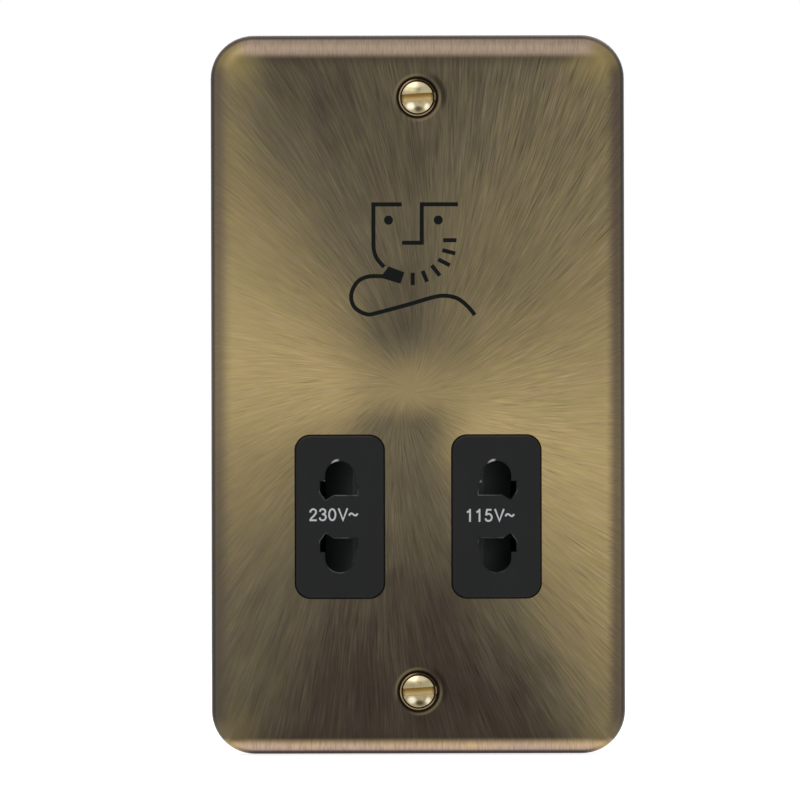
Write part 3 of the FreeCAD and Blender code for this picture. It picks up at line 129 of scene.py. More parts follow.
class Finish(Nodes):
    """A surface finish, whose places are told in millimetres from the frame's origin."""

    def __init__(self, name):
        self.material = bpy.data.materials.new(name)
        super().__init__(self.material)
        place = self.node("TexCoord", {}, {}, "Object")
        self.place = self.node("VectorMath", {"operation": "SCALE"}, {0: place, "Scale": 1 / MM})
        apart = [self.node("SeparateXYZ", {}, {0: self.place}, axis) for axis in "XYZ"]
        self.x, self.y, self.z = apart

    def away(self, x, z):
        """How far a place is from the one where x and z are 0, seen from the front."""
        flat = self.node("CombineXYZ", {}, {"X": x, "Z": z})
        return self.node("VectorMath", {"operation": "LENGTH"}, {0: flat}, "Value")

    def grain(self, size, detail, stretch=(1, 1, 1), seed=(0, 0, 0)):
        """Cloudy noise from 0 to 1, whose spots are about size millimetres across."""
        spread = self.node("VectorMath", {"operation": "MULTIPLY_ADD"},
                           {0: self.place, 1: [s / size for s in stretch], 2: seed})
        return self.node("TexNoise", {}, {"Vector": spread, "Scale": 1, "Detail": detail})

    def relief(self, height, depth, strength=1.0):
        """A normal for a surface whose height, from 0 to 1, stands for depth in millimetres."""
        return self.node("Bump", {}, {"Height": height, "Distance": depth * MM,
                                      "Strength": strength})

    def shade(self, sockets):
        shader = self.node("BsdfPrincipled", {}, sockets)
        self.node("OutputMaterial", {}, {"Surface": shader})
        return self.material


def paint(red, green, blue):
    """A colour as it looks on a screen, from 0 to 255, in the renderer's own scale."""
    scaled = [value / 255 for value in (red, green, blue)]
    return [v / 12.92 if v <= 0.04045 else ((v + 0.055) / 1.055) ** 2.4 for v in scaled] + [1]


def dress(material, *names):
    """Gives nodes of the frame their finish."""
    for name in names:
        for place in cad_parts[name].material_slots:
            place.link = "OBJECT"
            place.material = material


plate_low, plate_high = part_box("front_plate")
half_width, half_height = plate_high.x / MM, plate_high.z / MM
PLATE_CORNER = 8.8
SCREW_PITCH = 120.6
SINK_RADIUS = 4.2
FAN_CENTRE = (-2.5, -2.75)
STROKE_CENTRE = (-2.0, 1.0)
STRAIGHT_REACH = 30.0
STROKE_BEND = math.tan(math.radians(9.0))
WAVER = 0.4

brass = Finish("aged_brushed_brass")
# the hand of the polisher wavers, so the rays do too
waver = brass.node("TexNoise", {}, {"Vector": brass.place, "Scale": 0.1, "Detail": 2}, "Color")
straight = brass.node("VectorMath", {"operation": "MULTIPLY_ADD"}, {
    0: brass.place, 1: (1, 0, 1),
    2: (-FAN_CENTRE[0] - WAVER / 2, 0, -FAN_CENTRE[1] - WAVER / 2)})
ray = brass.node("VectorMath", {"operation": "MULTIPLY_ADD"},
                 {0: waver, 1: (WAVER, 0, WAVER), 2: straight})
ray_x = brass.node("SeparateXYZ", {}, {0: ray}, "X")
ray_z = brass.node("SeparateXYZ", {}, {0: ray}, "Z")
reach = brass.node("VectorMath", {"operation": "LENGTH"}, {0: ray}, "Value")
# the strokes meet a little above the fans, and bend anticlockwise on their way out
stroke = brass.node("VectorMath", {"operation": "SUBTRACT"}, {
    0: ray, 1: (STROKE_CENTRE[0] - FAN_CENTRE[0], 0, STROKE_CENTRE[1] - FAN_CENTRE[1])})
stroke_reach = brass.node("VectorMath", {"operation": "LENGTH"}, {0: stroke}, "Value")
bend = (stroke_reach / STRAIGHT_REACH).math("LOGARITHM", math.e) * STROKE_BEND
stroke = brass.node("VectorMath", {"operation": "NORMALIZE"}, {0: stroke})
heading = brass.node("VectorRotate", {"rotation_type": "Y_AXIS"},
                     {"Vector": stroke, "Angle": bend})

# how bright the painted sheen of the brushing is at each share of a turn, anticlockwise from the
# right
FAN_SHEEN = ((0.0, 0.86), (0.06, 0.6), (0.12, 0.38), (0.18, 0.27), (0.24, 0.1), (0.3, 0.14),
               (0.36, 0.5), (0.42, 0.9), (0.46, 0.98), (0.5, 0.92), (0.56, 0.52), (0.63, 0.26),
               (0.7, 0.03), (0.78, 0.0), (0.82, 0.12), (0.87, 0.6), (0.93, 0.95), (0.97, 0.98),
               (1.0, 0.86))
share_of_turn = (ray_z.math("ARCTAN2", ray_x) / math.tau).math("FRACT")
fans = brass.node("ValToRGB", {"stops": [(share, (level, level, level, 1))
                                         for share, level in FAN_SHEEN]}, {0: share_of_turn})
fans = brass.node("SeparateColor", {}, {0: fans}, "Red")
# the fans run together in the middle, whose painted sheen is brighter above than below
middle = reach.rise(17.0, 4.0)
middle_sheen = 0.58 - ray_z.rise(3.0, -4.0) * 0.38
fans = fans * (1 - middle) + middle * middle_sheen
# the painted sheen is fainter at the upper left, away from its edge, and at the bottom
upper = brass.z.rise(34.0, 62.0)
inner_left = brass.x.rise(-7.0, -17.0) - brass.x.rise(-27.0, -38.0) * 1.2
bottom = brass.z.rise(-42.0, -56.0) * abs(brass.x).rise(33.0, 24.0)
fans = fans * (1 - upper * inner_left * 0.5)
fans = fans - bottom * 0.04
# a faint pale tongue of painted sheen runs straight down from the middle, and a fainter one
# straight up
upright = ray_z / reach
tongue_down = upright.rise(-0.72, -0.97) * reach.rise(50.0, 16.0) * reach.rise(3.0, 15.0)
tongue_up = upright.rise(0.8, 0.97) * reach.rise(54.0, 36.0) * reach.rise(12.0, 24.0)
fans = fans + tongue_down * 0.15
fans = fans + tongue_up * 0.04


def brushed(frequency, change, detail, start=(0, 0, 0)):
    """Fine streaks along the strokes, about as wide as the reach over the frequency. They alter
    along their length by about change spots in a millimetre."""
    wave = brass.node("VectorMath", {"operation": "SCALE"}, {0: heading, "Scale": frequency})
    along = brass.node("VectorMath", {"operation": "MULTIPLY_ADD"},
                       {0: brass.place, 1: (change, change, change), 2: start})
    along = brass.node("VectorMath", {"operation": "ADD"}, {0: wave, 1: along})
    return brass.node("TexNoise", {}, {"Vector": along, "Scale": 1, "Detail": detail,
                                       "Roughness": 0.6})


outer = reach.rise(30.0, 48.0)
inner = reach.rise(18.0, 9.0)


def even_streaks(detail, start):
    """Streaks of much the same width near the middle, half way out and at the edge."""
    near, half_way, far = [brushed(frequency, change, detail, start)
                           for frequency, change in ((36, 0.2), (90, 0.16), (180, 0.14))]
    return far * outer + (1 - outer) * (near * inner + half_way * (1 - inner))


streaks = even_streaks(detail=2.5, start=(0, 0, 0))
hairs = even_streaks(detail=1, start=(40, 7, 23))
clumps = brushed(frequency=18, change=0.05, detail=3)
cloud = brass.grain(size=16.0, detail=3)
sheen_and_streaks = fans + (streaks - 0.5) * 0.16 + (clumps - 0.5) * 0.2 + (cloud - 0.5) * 0.2
# from the darkest patina to the brightest painted sheen
PATINA_AND_SHEEN_TONES = ((0.0, (54, 47, 39)), (0.08, (65, 57, 48)), (0.24, (95, 87, 68)),
              (0.52, (133, 118, 84)), (0.88, (161, 143, 100)), (1.0, (176, 158, 112)))
patina_and_sheen = brass.node("ValToRGB", {"stops": [(share, paint(*tone)) for share, tone in PATINA_AND_SHEEN_TONES]},
                  {0: (sheen_and_streaks + 0.1) / 1.25})
# pale and dark hairs lie among the streaks, which are deepest at the upper right
pale_hairs, dark_hairs = hairs.rise(0.62, 0.76), hairs.rise(0.38, 0.26)
scratched = (streaks - 0.5) * 0.8 + pale_hairs * 0.22 - dark_hairs * 0.24
upper_right = brass.x.rise(-15.0, 25.0) * brass.z.rise(0.0, 40.0)
far_left, lowest = brass.x.rise(-16.0, -32.0), brass.z.rise(-44.0, -60.0)
deep = 1 + upper_right * 0.45 - far_left * 0.35 - lowest * 0.2
patina_and_sheen = brass.node("VectorMath", {"operation": "SCALE"}, {0: patina_and_sheen, "Scale": scratched * deep + 1})
# tarnish tints the streaks by turns
OLIVE_TINT, ROSY_TINT = (0.98, 1.008, 0.948, 1), (1.023, 0.989, 1.068, 1)
tarnish = brushed(frequency=50, change=0.3, detail=2, start=(11, 3, 5))
tarnish = tarnish.rise(0.36, 0.64).between(OLIVE_TINT, ROSY_TINT)
patina_and_sheen = brass.node("VectorMath", {"operation": "MULTIPLY"}, {0: patina_and_sheen, 1: tarnish})

# the rolled edge: how far in from the outline a place is, and on which side
side_x = abs(brass.x) - (half_width - PLATE_CORNER)
side_z = abs(brass.z) - (half_height - PLATE_CORNER)
past_x = side_x.math("MAXIMUM", 0.0)
past_z = side_z.math("MAXIMUM", 0.0)
corner = (past_x * past_x + past_z * past_z).math("SQRT")
inset = PLATE_CORNER - corner - side_x.math("MAXIMUM", side_z).math("MINIMUM", 0.0)
on_end = (side_z - side_x).rise(-1.2, 1.2)
on_side = 1 - on_end
on_top = brass.z.rise(-20.0, 20.0)
edge_fibres = brass.grain(0.3, 3, (1, 0.1, 0.12)) * on_end + \
    brass.grain(0.3, 3, (0.12, 0.1, 1)) * on_side
# towards a corner the roll turns away from both neighbours, and gets a painted highlight like the
# fans
turning = (past_x * past_z * 2 / (past_x * past_x + past_z * past_z + 2.0)).rise(0.0, 1.0)
# a band along the edge has painted highlights on the ends and painted shade on the sides, with a
# ragged inner line on the sides
from_end = half_height - abs(brass.z)
band_width = on_side * 3.0 + on_end * (2.45 + on_top * 1.7)
band_blur = 1.2 + on_side * brass.x.rise(0.0, -20.0) * 0.5 - on_end * (0.2 + on_top * 0.25)
band_depth = inset * on_side + from_end * on_end
ragged = (edge_fibres - 0.5) * on_side * 1.5
band = ((band_width - band_depth - ragged) / band_blur).rise(-1.0, 1.0)
warm = (inset / 3.2 + (cloud - 0.5) * 1.4).rise(0.1, 0.9)
end_highlight = on_top.between(warm.between(paint(196, 172, 158), paint(218, 190, 148)),
                          paint(153, 134, 117))
# painted shade on the sides: lighter on the left, and lighter higher up there, darker on the right
left_side_shade = brass.z.rise(-60.0, 20.0).between(paint(78, 71, 61), paint(92, 82, 72))
side_shade = brass.x.rise(-10.0, 10.0).between(left_side_shade, paint(72, 61, 56))
# the painted shade of the sides keeps a quarter of the tone of the face
side_shade = brass.node("Mix", {"data_type": "RGBA"}, {0: 0.25, 6: side_shade, 7: patina_and_sheen}, 2)
edge_light_and_shade = on_end.between(side_shade, end_highlight)
dark_fibres = ((edge_fibres - 0.5) * 1.1 + 0.1).math("MAXIMUM", 0.0)
edge_light_and_shade = dark_fibres.between(edge_light_and_shade, paint(84, 72, 60))
# at the corners the band gets a painted highlight, brightest where the bottom of the roll turns
# down
corner_highlight = on_top.between(paint(108, 97, 71), paint(134, 119, 80))
bottom_roll = from_end.rise(3.4, 2.2) * (1 - on_top)
corner_highlight = bottom_roll.between(corner_highlight, paint(214, 184, 126))
edge_light_and_shade = (turning * turning * 0.85).between(edge_light_and_shade, corner_highlight)
# painted shade on the face at the foot of the top and bottom rolls, deeper under the top one
roll_foot_shade = inset.rise(7.0, 3.8) * on_end * (0.15 + on_top * 0.4)
face_tone = roll_foot_shade.between(patina_and_sheen, paint(58, 50, 42))
# a painted glow of light on the face near each corner, stronger near the top
face_corner_highlight = (side_x / 10 + 0.5).rise(0.1, 1.0) * (side_z / 10 + 0.5).rise(0.1, 1.0) * \
    (0.25 + on_top * 0.5)
face_tone = face_corner_highlight.between(face_tone, paint(140, 124, 80))
face_tone = (band * 0.92).between(face_tone, edge_light_and_shade)
# painted shade runs round the rim as a dark line, where the roll turns away
rim_inset = inset + on_side * 0.15 + on_end * (1 - on_top) * 0.12
rim_shade = rim_inset.rise(1.2, 0.5) * (1 - turning * (0.7 - on_top * 0.5))
face_tone = (rim_shade * 0.95).between(face_tone, paint(34, 24, 20))

# painted shade and a painted highlight round each screw, where the dimple dishes
above_screw = brass.z - brass.z.math("SIGN") * SCREW_PITCH / 2
from_screw = brass.away(brass.x, above_screw)
shaded_side = ((brass.x * 0.95 + above_screw * 0.31) / from_screw).rise(0.6, 0.98)
dimple_shade = from_screw.rise(4.5, 5.1) * from_screw.rise(6.3, 5.4) * shaded_side * 0.8
diagonal = abs((brass.x - above_screw) / from_screw).rise(0.2, 1.4)
glint = from_screw.rise(4.2, 4.45) * from_screw.rise(5.1, 4.6) * diagonal * 0.5
# a painted shadow in the gap between each head and its countersink
head_gap_shadow = from_screw.rise(SINK_RADIUS + 0.35, SINK_RADIUS - 0.1)
face_tone = dimple_shade.between(face_tone, paint(40, 35, 28))
face_tone = glint.between(face_tone, paint(128, 114, 82))
face_tone = head_gap_shadow.between(face_tone, paint(30, 25, 18))

# the back keeps the plain mill surface of the sheet
outward = brass.node("NewGeometry", {}, {}, "Normal")
back = brass.node("SeparateXYZ", {}, {0: outward}, "Y").rise(0.55, 0.8)
sheet_grain = brass.grain(1.6, 4, (0.25, 1, 1))
mill = sheet_grain.between(paint(140, 112, 62), paint(186, 154, 92))
face_tone = back.between(face_tone, mill)
front_plate_finish = brass.shade({
    "Base Color": face_tone, "Metallic": 1.0,
    "Roughness": 0.52 - sheen_and_streaks * 0.14 + (streaks - 0.5) * 0.12,
    "Normal": brass.relief(streaks * (1 - back) + sheet_grain * back * 0.5,
                           depth=0.015, strength=0.6)})
dress(front_plate_finish, "front_plate")


# Printed sign. The usual pictogram for a shaver outlet, screen printed in black ink on the
# lacquer of the plate: a face in two lines and two dots, whose beard a shaver on a flex trims.
def ribbon(mesh, points, width, face, thickness):
    """A flat printed line through points (x, z) in millimetres, square at its ends."""
    spots = [Vector(point) for point in points]
    edges = []
    for index, spot in enumerate(spots):
        before = (spot - spots[index - 1]).normalized() if index else None
        after = (spots[index + 1] - spot).normalized() if index + 1 < len(spots) else None
        along = ((before or after) + (after or before)).normalized()
        across = Vector((-along.y, along.x))
        share = max(0.5, abs(along.dot(before or after)))
        edges.append([spot + across * width / 2 / share, spot - across * width / 2 / share])
    top = [[mesh.verts.new((p.x * MM, face - thickness, p.y * MM)) for p in pair] for pair in edges]
    foot = [[mesh.verts.new((p.x * MM, face, p.y * MM)) for p in pair] for pair in edges]
    for index in range(len(edges) - 1):
        for low, high in ((top[index], top[index + 1]), (foot[index + 1], foot[index])):
            mesh.faces.new((low[0], low[1], high[1], high[0]))
        for side in (0, 1):
            mesh.faces.new((top[index][side], top[index + 1][side],
                            foot[index + 1][side], foot[index][side]))
    for end in (0, -1):
        mesh.faces.new((top[end][0], top[end][1], foot[end][1], foot[end][0]))


def flowing(points, steps=10):
    """A smooth line through the points, with steps places between two of them."""
    ends = [points[0], *points, points[-1]]
    line = []
    for index in range(len(points) - 1):
        a, b, c, d = [Vector(p) for p in ends[index:index + 4]]
        for step in range(steps):
            t = step / steps
            line.append(0.5 * (2 * b + (c - a) * t + (2 * a - 5 * b + 4 * c - d) * t * t
                               + (3 * b - a - 3 * c + d) * t ** 3))
    return line + [Vector(points[-1])]


SHARP_EDGE = math.radians(38)


def new_piece(name, mesh, material):
    """An object from a finished mesh, smooth but for its sharp edges."""
    bmesh.ops.recalc_face_normals(mesh, faces=mesh.faces)
    data = bpy.data.meshes.new(name)
    mesh.to_mesh(data)
    mesh.free()
    data.materials.append(material)
    data.shade_smooth()
    data.set_sharp_from_angle(angle=SHARP_EDGE)
    piece = bpy.data.objects.new(name, data)
    bpy.context.scene.collection.objects.link(piece)
    return piece


def patch(mesh, corners, face, thickness):
    """A flat printed area with the corners (x, z) in millimetres."""
    top = [mesh.verts.new((x * MM, face - thickness, z * MM)) for x, z in corners]
    foot = [mesh.verts.new((x * MM, face, z * MM)) for x, z in corners]
    mesh.faces.new(top)
    for index in range(len(corners)):
        mesh.faces.new((top[index - 1], top[index], foot[index], foot[index - 1]))


INK_THICKNESS = 0.03 * MM
LINE_WIDTH = 0.82
DOT_RADIUS, DOT_CORNERS = 0.92, 32
CHEEK = [(-3.2, 38.6), (-8.97, 38.6)] + flowing(
    [(-8.97, 30.8), (-8.85, 29.2), (-8.2, 27.5), (-6.8, 25.9)])
NOSE = [(8.2, 38.6), (0.85, 38.6), (0.85, 30.8), (-3.15, 30.8)]
EYES = [(-5.9, 35.4), (4.2, 35.4)]
BEARD = [[(5.2, 31.3), (7.9, 31.3)], [(5.0, 29.3), (7.65, 28.6)], [(4.2, 27.4), (6.55, 26.2)],
         [(2.85, 26.2), (4.5, 24.1)], [(1.0, 25.1), (1.9, 22.9)], [(-1.0, 24.7), (-1.0, 22.2)]]
SHAVER = [(-5.9, 26.0), (-2.7, 24.8), (-3.5, 22.5), (-7.1, 23.6), (-7.1, 24.4)]
FLEX = flowing([(-7.1, 24.0), (-10.05, 23.95), (-12.3, 22.8), (-13.5, 20.2), (-12.8, 17.7),
                (-10.3, 16.3), (-7.8, 16.7), (-1.8, 18.3), (3.4, 19.8), (5.9, 20.0), (8.2, 19.4),
                (10.2, 17.8), (11.6, 16.1)])
plate_face = plate_low.y
sign = bmesh.new()
for line in (CHEEK, NOSE, *BEARD):
    ribbon(sign, line, LINE_WIDTH, plate_face, INK_THICKNESS)
patch(sign, SHAVER, plate_face, INK_THICKNESS)
ribbon(sign, FLEX, LINE_WIDTH, plate_face, INK_THICKNESS)
for x, z in EYES:
    angles = [step * math.tau / DOT_CORNERS for step in range(DOT_CORNERS)]
    patch(sign, [(x + DOT_RADIUS * math.cos(angle), z + DOT_RADIUS * math.sin(angle))
                 for angle in angles], plate_face, INK_THICKNESS)

ink = Finish("printing_ink")
speck = ink.grain(0.35, 4)
ink_finish = ink.shade({
    "Base Color": speck.between(paint(8, 12, 12), paint(18, 22, 21)),
    "Roughness": 0.6 + (speck - 0.5) * 0.2, "Specular IOR Level": 0.08,
    "Normal": ink.relief(speck, depth=0.004)})
sign = new_piece("printed_sign", sign, ink_finish)
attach(sign, "unit")


# Socket moulding. One tray of black satin plastic behind the plate, whose two islands stand
# through its windows and hold the pin holes. The voltages are pad printed on them in pale grey.
def moulded(name, low, high, gloss, grain, depth, marks=None):
    """Injection moulded plastic with a finely eroded surface and faint flow clouds, and with the
    painted highlights that marks adds to its tone."""
    finish = Finish(name)
    fine = finish.grain(grain, 3)
    cloud = finish.grain(7.0, 3, (1, 1, 0.4), (3, 1, 7))
    tone = (cloud * 0.6 + fine * 0.4).rise(0.25, 0.75).between(low, high)
    if marks:
        tone = marks(finish, tone)
    return finish.shade({
        "Base Color": tone,
        "Roughness": gloss + (fine - 0.5) * 0.1 + (cloud - 0.5) * 0.12,
        "Specular IOR Level": 0.2,
        "Normal": finish.relief(fine, depth, strength=0.5)})


OUTLET_X, OUTLET_Z = 15.9, -24.8
island_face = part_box("socket_moulding")[0].y


def pin_hole_highlights(finish, tone):
    """Paints pale highlights along the edges of the pin holes, most of all between the two of an
    outlet and below them, and a painted highlight at the top of each upper hole and a smaller one
    on its ear."""
    across = abs(finish.x) - OUTLET_X
    up = finish.z - OUTLET_Z
    face = island_face / MM
    edge = finish.y.rise(face + 0.01, face + 0.08) * finish.y.rise(face + 0.6, face + 0.3) * \
        abs(across).rise(7.0, 6.5)
    between_holes = abs(up).rise(5.8, 4.8)
    below_holes = up.rise(-9.9, -10.9) * up.rise(-13.5, -12.5)
    patchy = finish.grain(2.2, 2, (1, 1, 1), (6, 2, 4)).rise(0.36, 0.6)
    # painted highlights along the edges of the holes
    tone = (edge * (0.05 + (between_holes * 0.45 + below_holes * 0.3) * patchy)).between(
        tone, paint(128, 130, 128))
    side = finish.x.math("SIGN")
    from_middle = finish.x - side * OUTLET_X
    in_front = finish.y.rise(face + 0.9, face + 0.5)
    # each painted highlight's place from its outlet, its half width and half height, and its
    # strength
    for x, z, long, high, strength in ((-0.95, 11.15, 1.0, 0.55, 0.95),
                                       (-2.95, 7.2, 0.6, 0.4, 0.35)):
        spot = finish.away((from_middle - x) / long, (up - z - (from_middle - x) * 0.4) / high)
        tone = (spot.rise(1.0, 0.35) * in_front * strength).between(tone, paint(216, 214, 204))
    return tone


highlighted_plastic = moulded("black_plastic_with_painted_highlights", paint(11, 12, 13), paint(19, 20, 21),
                          gloss=0.42, grain=0.22, depth=0.012, marks=pin_hole_highlights)
dress(highlighted_plastic, "socket_moulding")

# each numeral is drawn in lines (x, z) in millimetres from its lower left corner
NUMERAL_LINE, NUMERAL_ADVANCE = 0.36, 1.93
NUMERAL_HEIGHT, NUMERAL_WIDTH = 2.26, 1.3
OVAL_STEPS, NUMERAL_STEPS = 24, 6
oval = []
for step in range(OVAL_STEPS + 1):
    angle = step * math.tau / OVAL_STEPS
    oval.append((NUMERAL_WIDTH / 2 * (1 - math.cos(angle)),
                 NUMERAL_HEIGHT / 2 * (1 + math.sin(angle))))
NUMERALS = {
    "0": [oval],
    "1": [[(0.72, -0.18), (0.72, 2.44)], [(0.1, 1.72), (0.8, 2.2)]],
    "2": [flowing([(0.04, 1.58), (0.16, 1.98), (0.64, 2.26), (1.12, 2.04), (1.2, 1.52), (0.8, 0.94),
                   (0.3, 0.44), (0.02, 0.0)], NUMERAL_STEPS), [(-0.1, 0.0), (1.36, 0.0)]],
    "3": [flowing([(0.06, 1.74), (0.24, 2.12), (0.64, 2.26), (1.04, 2.1), (1.18, 1.74), (1.0, 1.36),
                   (0.5, 1.2)], NUMERAL_STEPS),
          flowing([(0.56, 1.22), (1.06, 1.08), (1.28, 0.66), (1.08, 0.16), (0.62, 0.0), (0.2, 0.14),
                   (0.0, 0.54)], NUMERAL_STEPS)],
    "5": [[(1.22, 2.26), (0.3, 2.26), (0.12, 1.14)],
          flowing([(0.1, 1.16), (0.52, 1.42), (1.0, 1.3), (1.28, 0.78), (1.1, 0.2), (0.62, 0.0),
                   (0.18, 0.13), (0.0, 0.52)], NUMERAL_STEPS)],
    "V": [[(0.0, 2.42), (0.9, 0.04), (1.8, 2.42)]],
    "~": [flowing([(0.2, 0.92), (0.42, 1.3), (0.78, 1.36), (1.24, 1.04), (1.62, 0.98),
                   (1.94, 1.36)], NUMERAL_STEPS)]}

numeral_ink = Finish("pale_print")
fleck = numeral_ink.grain(0.3, 3)
numeral_finish = numeral_ink.shade({
    "Base Color": fleck.between(paint(186, 190, 193), paint(210, 214, 216)),
    "Roughness": 0.6 + (fleck - 0.5) * 0.2,
    "Normal": numeral_ink.relief(fleck, depth=0.004)})
for side, voltage, left, foot in (("left", "230V~", -21.95, -25.5),
                                  ("right", "115V~", 9.8, -25.7)):
    voltage_mesh = bmesh.new()
    for place, numeral in enumerate(voltage):
        for layer, line in enumerate(NUMERALS[numeral]):
            # the second line of a numeral lies over the first
            ribbon(voltage_mesh,
                   [(left + place * NUMERAL_ADVANCE + x, foot + z) for x, z in line],
                   NUMERAL_LINE, island_face, INK_THICKNESS * (1 + layer * 0.2))
    voltage_print = new_piece(side + "_voltage_print", voltage_mesh, numeral_finish)
    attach(voltage_print, "unit")


# Studs and nuts. Zinc plated steel: four studs are fixed in the back of the plate, and their
# nuts clamp the moulding to it. The earth strap sits under one nut more.
DRAWN_MARK_DEPTH = 0.01


def metal(name, low, high, gloss, grain, stretch=(1, 1, 1)):
    """Bare or plated metal with fine drawn marks and cloudy dulling."""
    finish = Finish(name)
    marks = finish.grain(grain, 4, stretch)
    cloud = finish.grain(2.6, 3, (1, 1, 1), (5, 2, 1))
    tone = (marks * 0.45 + cloud * 0.55).rise(0.3, 0.7)
    return finish.shade({
        "Base Color": tone.between(low, high), "Metallic": 1.0,
        "Roughness": gloss + (cloud - 0.5) * 0.2 + (marks - 0.5) * 0.14,
        "Normal": finish.relief(marks, DRAWN_MARK_DEPTH, strength=0.5)})


zinc = metal("bright_zinc_plate", paint(158, 162, 168), paint(206, 206, 198),
             gloss=0.36, grain=0.3)
dress(zinc, "plate_studs", "plate_nuts", "earth_nut")


# Shutter. One moulded slide behind the pin holes, which two steel springs hold in the middle.
# Pins push its ramps aside, and a brass bridge that it carries then switches the transformer.
# Each spring stands on two pegs, is pressed together on one side and let out on the other.
# the shutter's black plastic is painted dark grey, as painted light in the shaded pin holes
lightened_shutter_plastic = moulded("dark_shutter_plastic", paint(62, 66, 66), paint(78, 82, 82),
                          gloss=0.5, grain=0.22, depth=0.01)
dress(lightened_shutter_plastic, "shutter")
spring_wire = metal("drawn_spring_wire", paint(120, 122, 126), paint(176, 178, 180),
                    gloss=0.3, grain=0.16)
strip_brass = metal("rolled_contact_brass", paint(178, 142, 74), paint(222, 190, 118),
                    gloss=0.3, grain=0.25, stretch=(0.15, 1, 1))
dress(strip_brass, "bridge_contact")

SPRING_TURNS, SPRING_RADIUS, WIRE_RADIUS = 4.5, 2.1, 0.2
TURN_STEPS, WIRE_SIDES = 28, 10
# how far short of its two faces the wire ends, and how far past them its stretch is reckoned
END_GAP, OVERRUN = 0.55, 1.15
for side, node in ((-1, "spring_left"), (1, "spring_right")):
    # from the end at the shutter to the end at the wall of the carrier
    ends = sorted((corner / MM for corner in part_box(node)), key=lambda corner: corner.x * side)
    level = (ends[0] + ends[1]) / 2
    first, last = ends[0].x + side * END_GAP, ends[1].x - side * END_GAP
    steps = round(SPRING_TURNS * TURN_STEPS)
    wire_turns = [math.tau * corner / WIRE_SIDES for corner in range(WIRE_SIDES)]
    coil = bmesh.new()
    rings = []
    for step in range(steps + 1):
        angle = math.tau * step / TURN_STEPS
        outward = Vector((0, math.cos(angle), math.sin(angle)))
        along = Vector(((last - first) / SPRING_TURNS / math.tau,
                        -SPRING_RADIUS * math.sin(angle), SPRING_RADIUS * math.cos(angle)))
        sideways = along.normalized().cross(outward)
        middle_of_wire = Vector((first + (last - first) * step / steps, level.y, level.z)) + \
            outward * SPRING_RADIUS
        ring = [middle_of_wire + WIRE_RADIUS * (
            outward * math.cos(turn) + sideways * math.sin(turn)) for turn in wire_turns]
        rings.append([coil.verts.new(spot * MM) for spot in ring])
    for before, after in zip(rings, rings[1:]):
        for corner in range(WIRE_SIDES):
            coil.faces.new((before[corner - 1], before[corner], after[corner], after[corner - 1]))
    for ring in (rings[0], rings[-1]):
        coil.faces.new(ring)
    spring = new_piece(node.replace("spring_", "") + "_coil_spring", coil, spring_wire)
    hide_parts(node)
    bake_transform(spring)


# Contact carrier. A grey moulding with a cell for each pin, closed by a cover. It holds the
# spring brass clips and both halves of the switch, and four screws fix it to the moulding.
grey_plastic = moulded("grey_satin_plastic", paint(112, 115, 118), paint(134, 137, 139),
                       gloss=0.45, grain=0.3, depth=0.012)
dress(grey_plastic, "contact_carrier", "contact_cover")
dress(strip_brass, "contact_230", "contact_115", "contact_common", "switch_line", "switch_load")
dress(zinc, "carrier_screws")


# Transformer. Varnished steel laminations round a moulded bobbin with two windings of
# enamelled copper, in a crimped steel frame with an ear at each end.
SHEETS_IN_A_MM = 2.0
WIRE_PITCH = 0.34

core = Finish("varnished_laminations")
sheet = (core.y * SHEETS_IN_A_MM).math("FRACT")
seam = abs(sheet - 0.5).rise(0.36, 0.48)
varnish = core.grain(4.0, 4, (1, 1, 1), (2, 8, 3))
sheet_tone = varnish.between(paint(92, 90, 90), paint(128, 116, 104))
laminations = core.shade({
    "Base Color": (seam * 0.75).between(sheet_tone, paint(38, 34, 30)), "Metallic": 0.85,
    "Roughness": 0.42 + seam * 0.25 + (varnish - 0.5) * 0.2,
    "Normal": core.relief(1 - seam, depth=0.06, strength=0.7)})
dress(laminations, "transformer_core")

ivory_plastic = moulded("natural_bobbin_plastic", paint(214, 208, 190), paint(228, 223, 208),
                        gloss=0.45, grain=0.35, depth=0.012)
dress(ivory_plastic, "bobbin")

copper = Finish("enamelled_copper_wire")
turns = abs((copper.z / WIRE_PITCH).math("FRACT") - 0.5)
wire = 1 - (turns * 2).math("POWER", 2.0)
wobble = copper.grain(1.4, 3, (1, 1, 3))
copper_tone = wobble.between(paint(150, 74, 34), paint(206, 118, 60))
copper_windings = copper.shade({
    "Base Color": wire.rise(0.5, 0.05).between(copper_tone, paint(70, 28, 12)), "Metallic": 0.9,
    "Roughness": 0.3 + (wobble - 0.5) * 0.2,
    "Coat Weight": 0.6, "Coat Roughness": 0.15,
    "Normal": copper.relief(wire, depth=0.12, strength=0.8)})
dress(copper_windings, "primary_winding", "secondary_winding")
dress(zinc, "transformer_frame", "frame_screws")
dress(grey_plastic, "thermal_cutout")


# Terminal block. A grey moulding with three brass terminals for the supply, whose steel screws
# clamp the wires. A strap of brass joins the earth terminal to the plate.
dress(grey_plastic, "terminal_block")
dress(strip_brass, "terminal_live", "terminal_neutral", "terminal_earth", "earth_strap")
dress(zinc, "terminal_screws", "block_screws")


# Leads. Stranded copper in smooth coloured insulation, soldered or clamped at both ends.
def sleeve(name, low, high):
    """Smooth soft insulation with a light dusting."""
    finish = Finish(name)
    dust = finish.grain(1.2, 4)
    return finish.shade({
        "Base Color": dust.between(low, high), "Roughness": 0.34 + (dust - 0.5) * 0.16,
        "Normal": finish.relief(finish.grain(0.4, 2), depth=0.006, strength=0.5)})


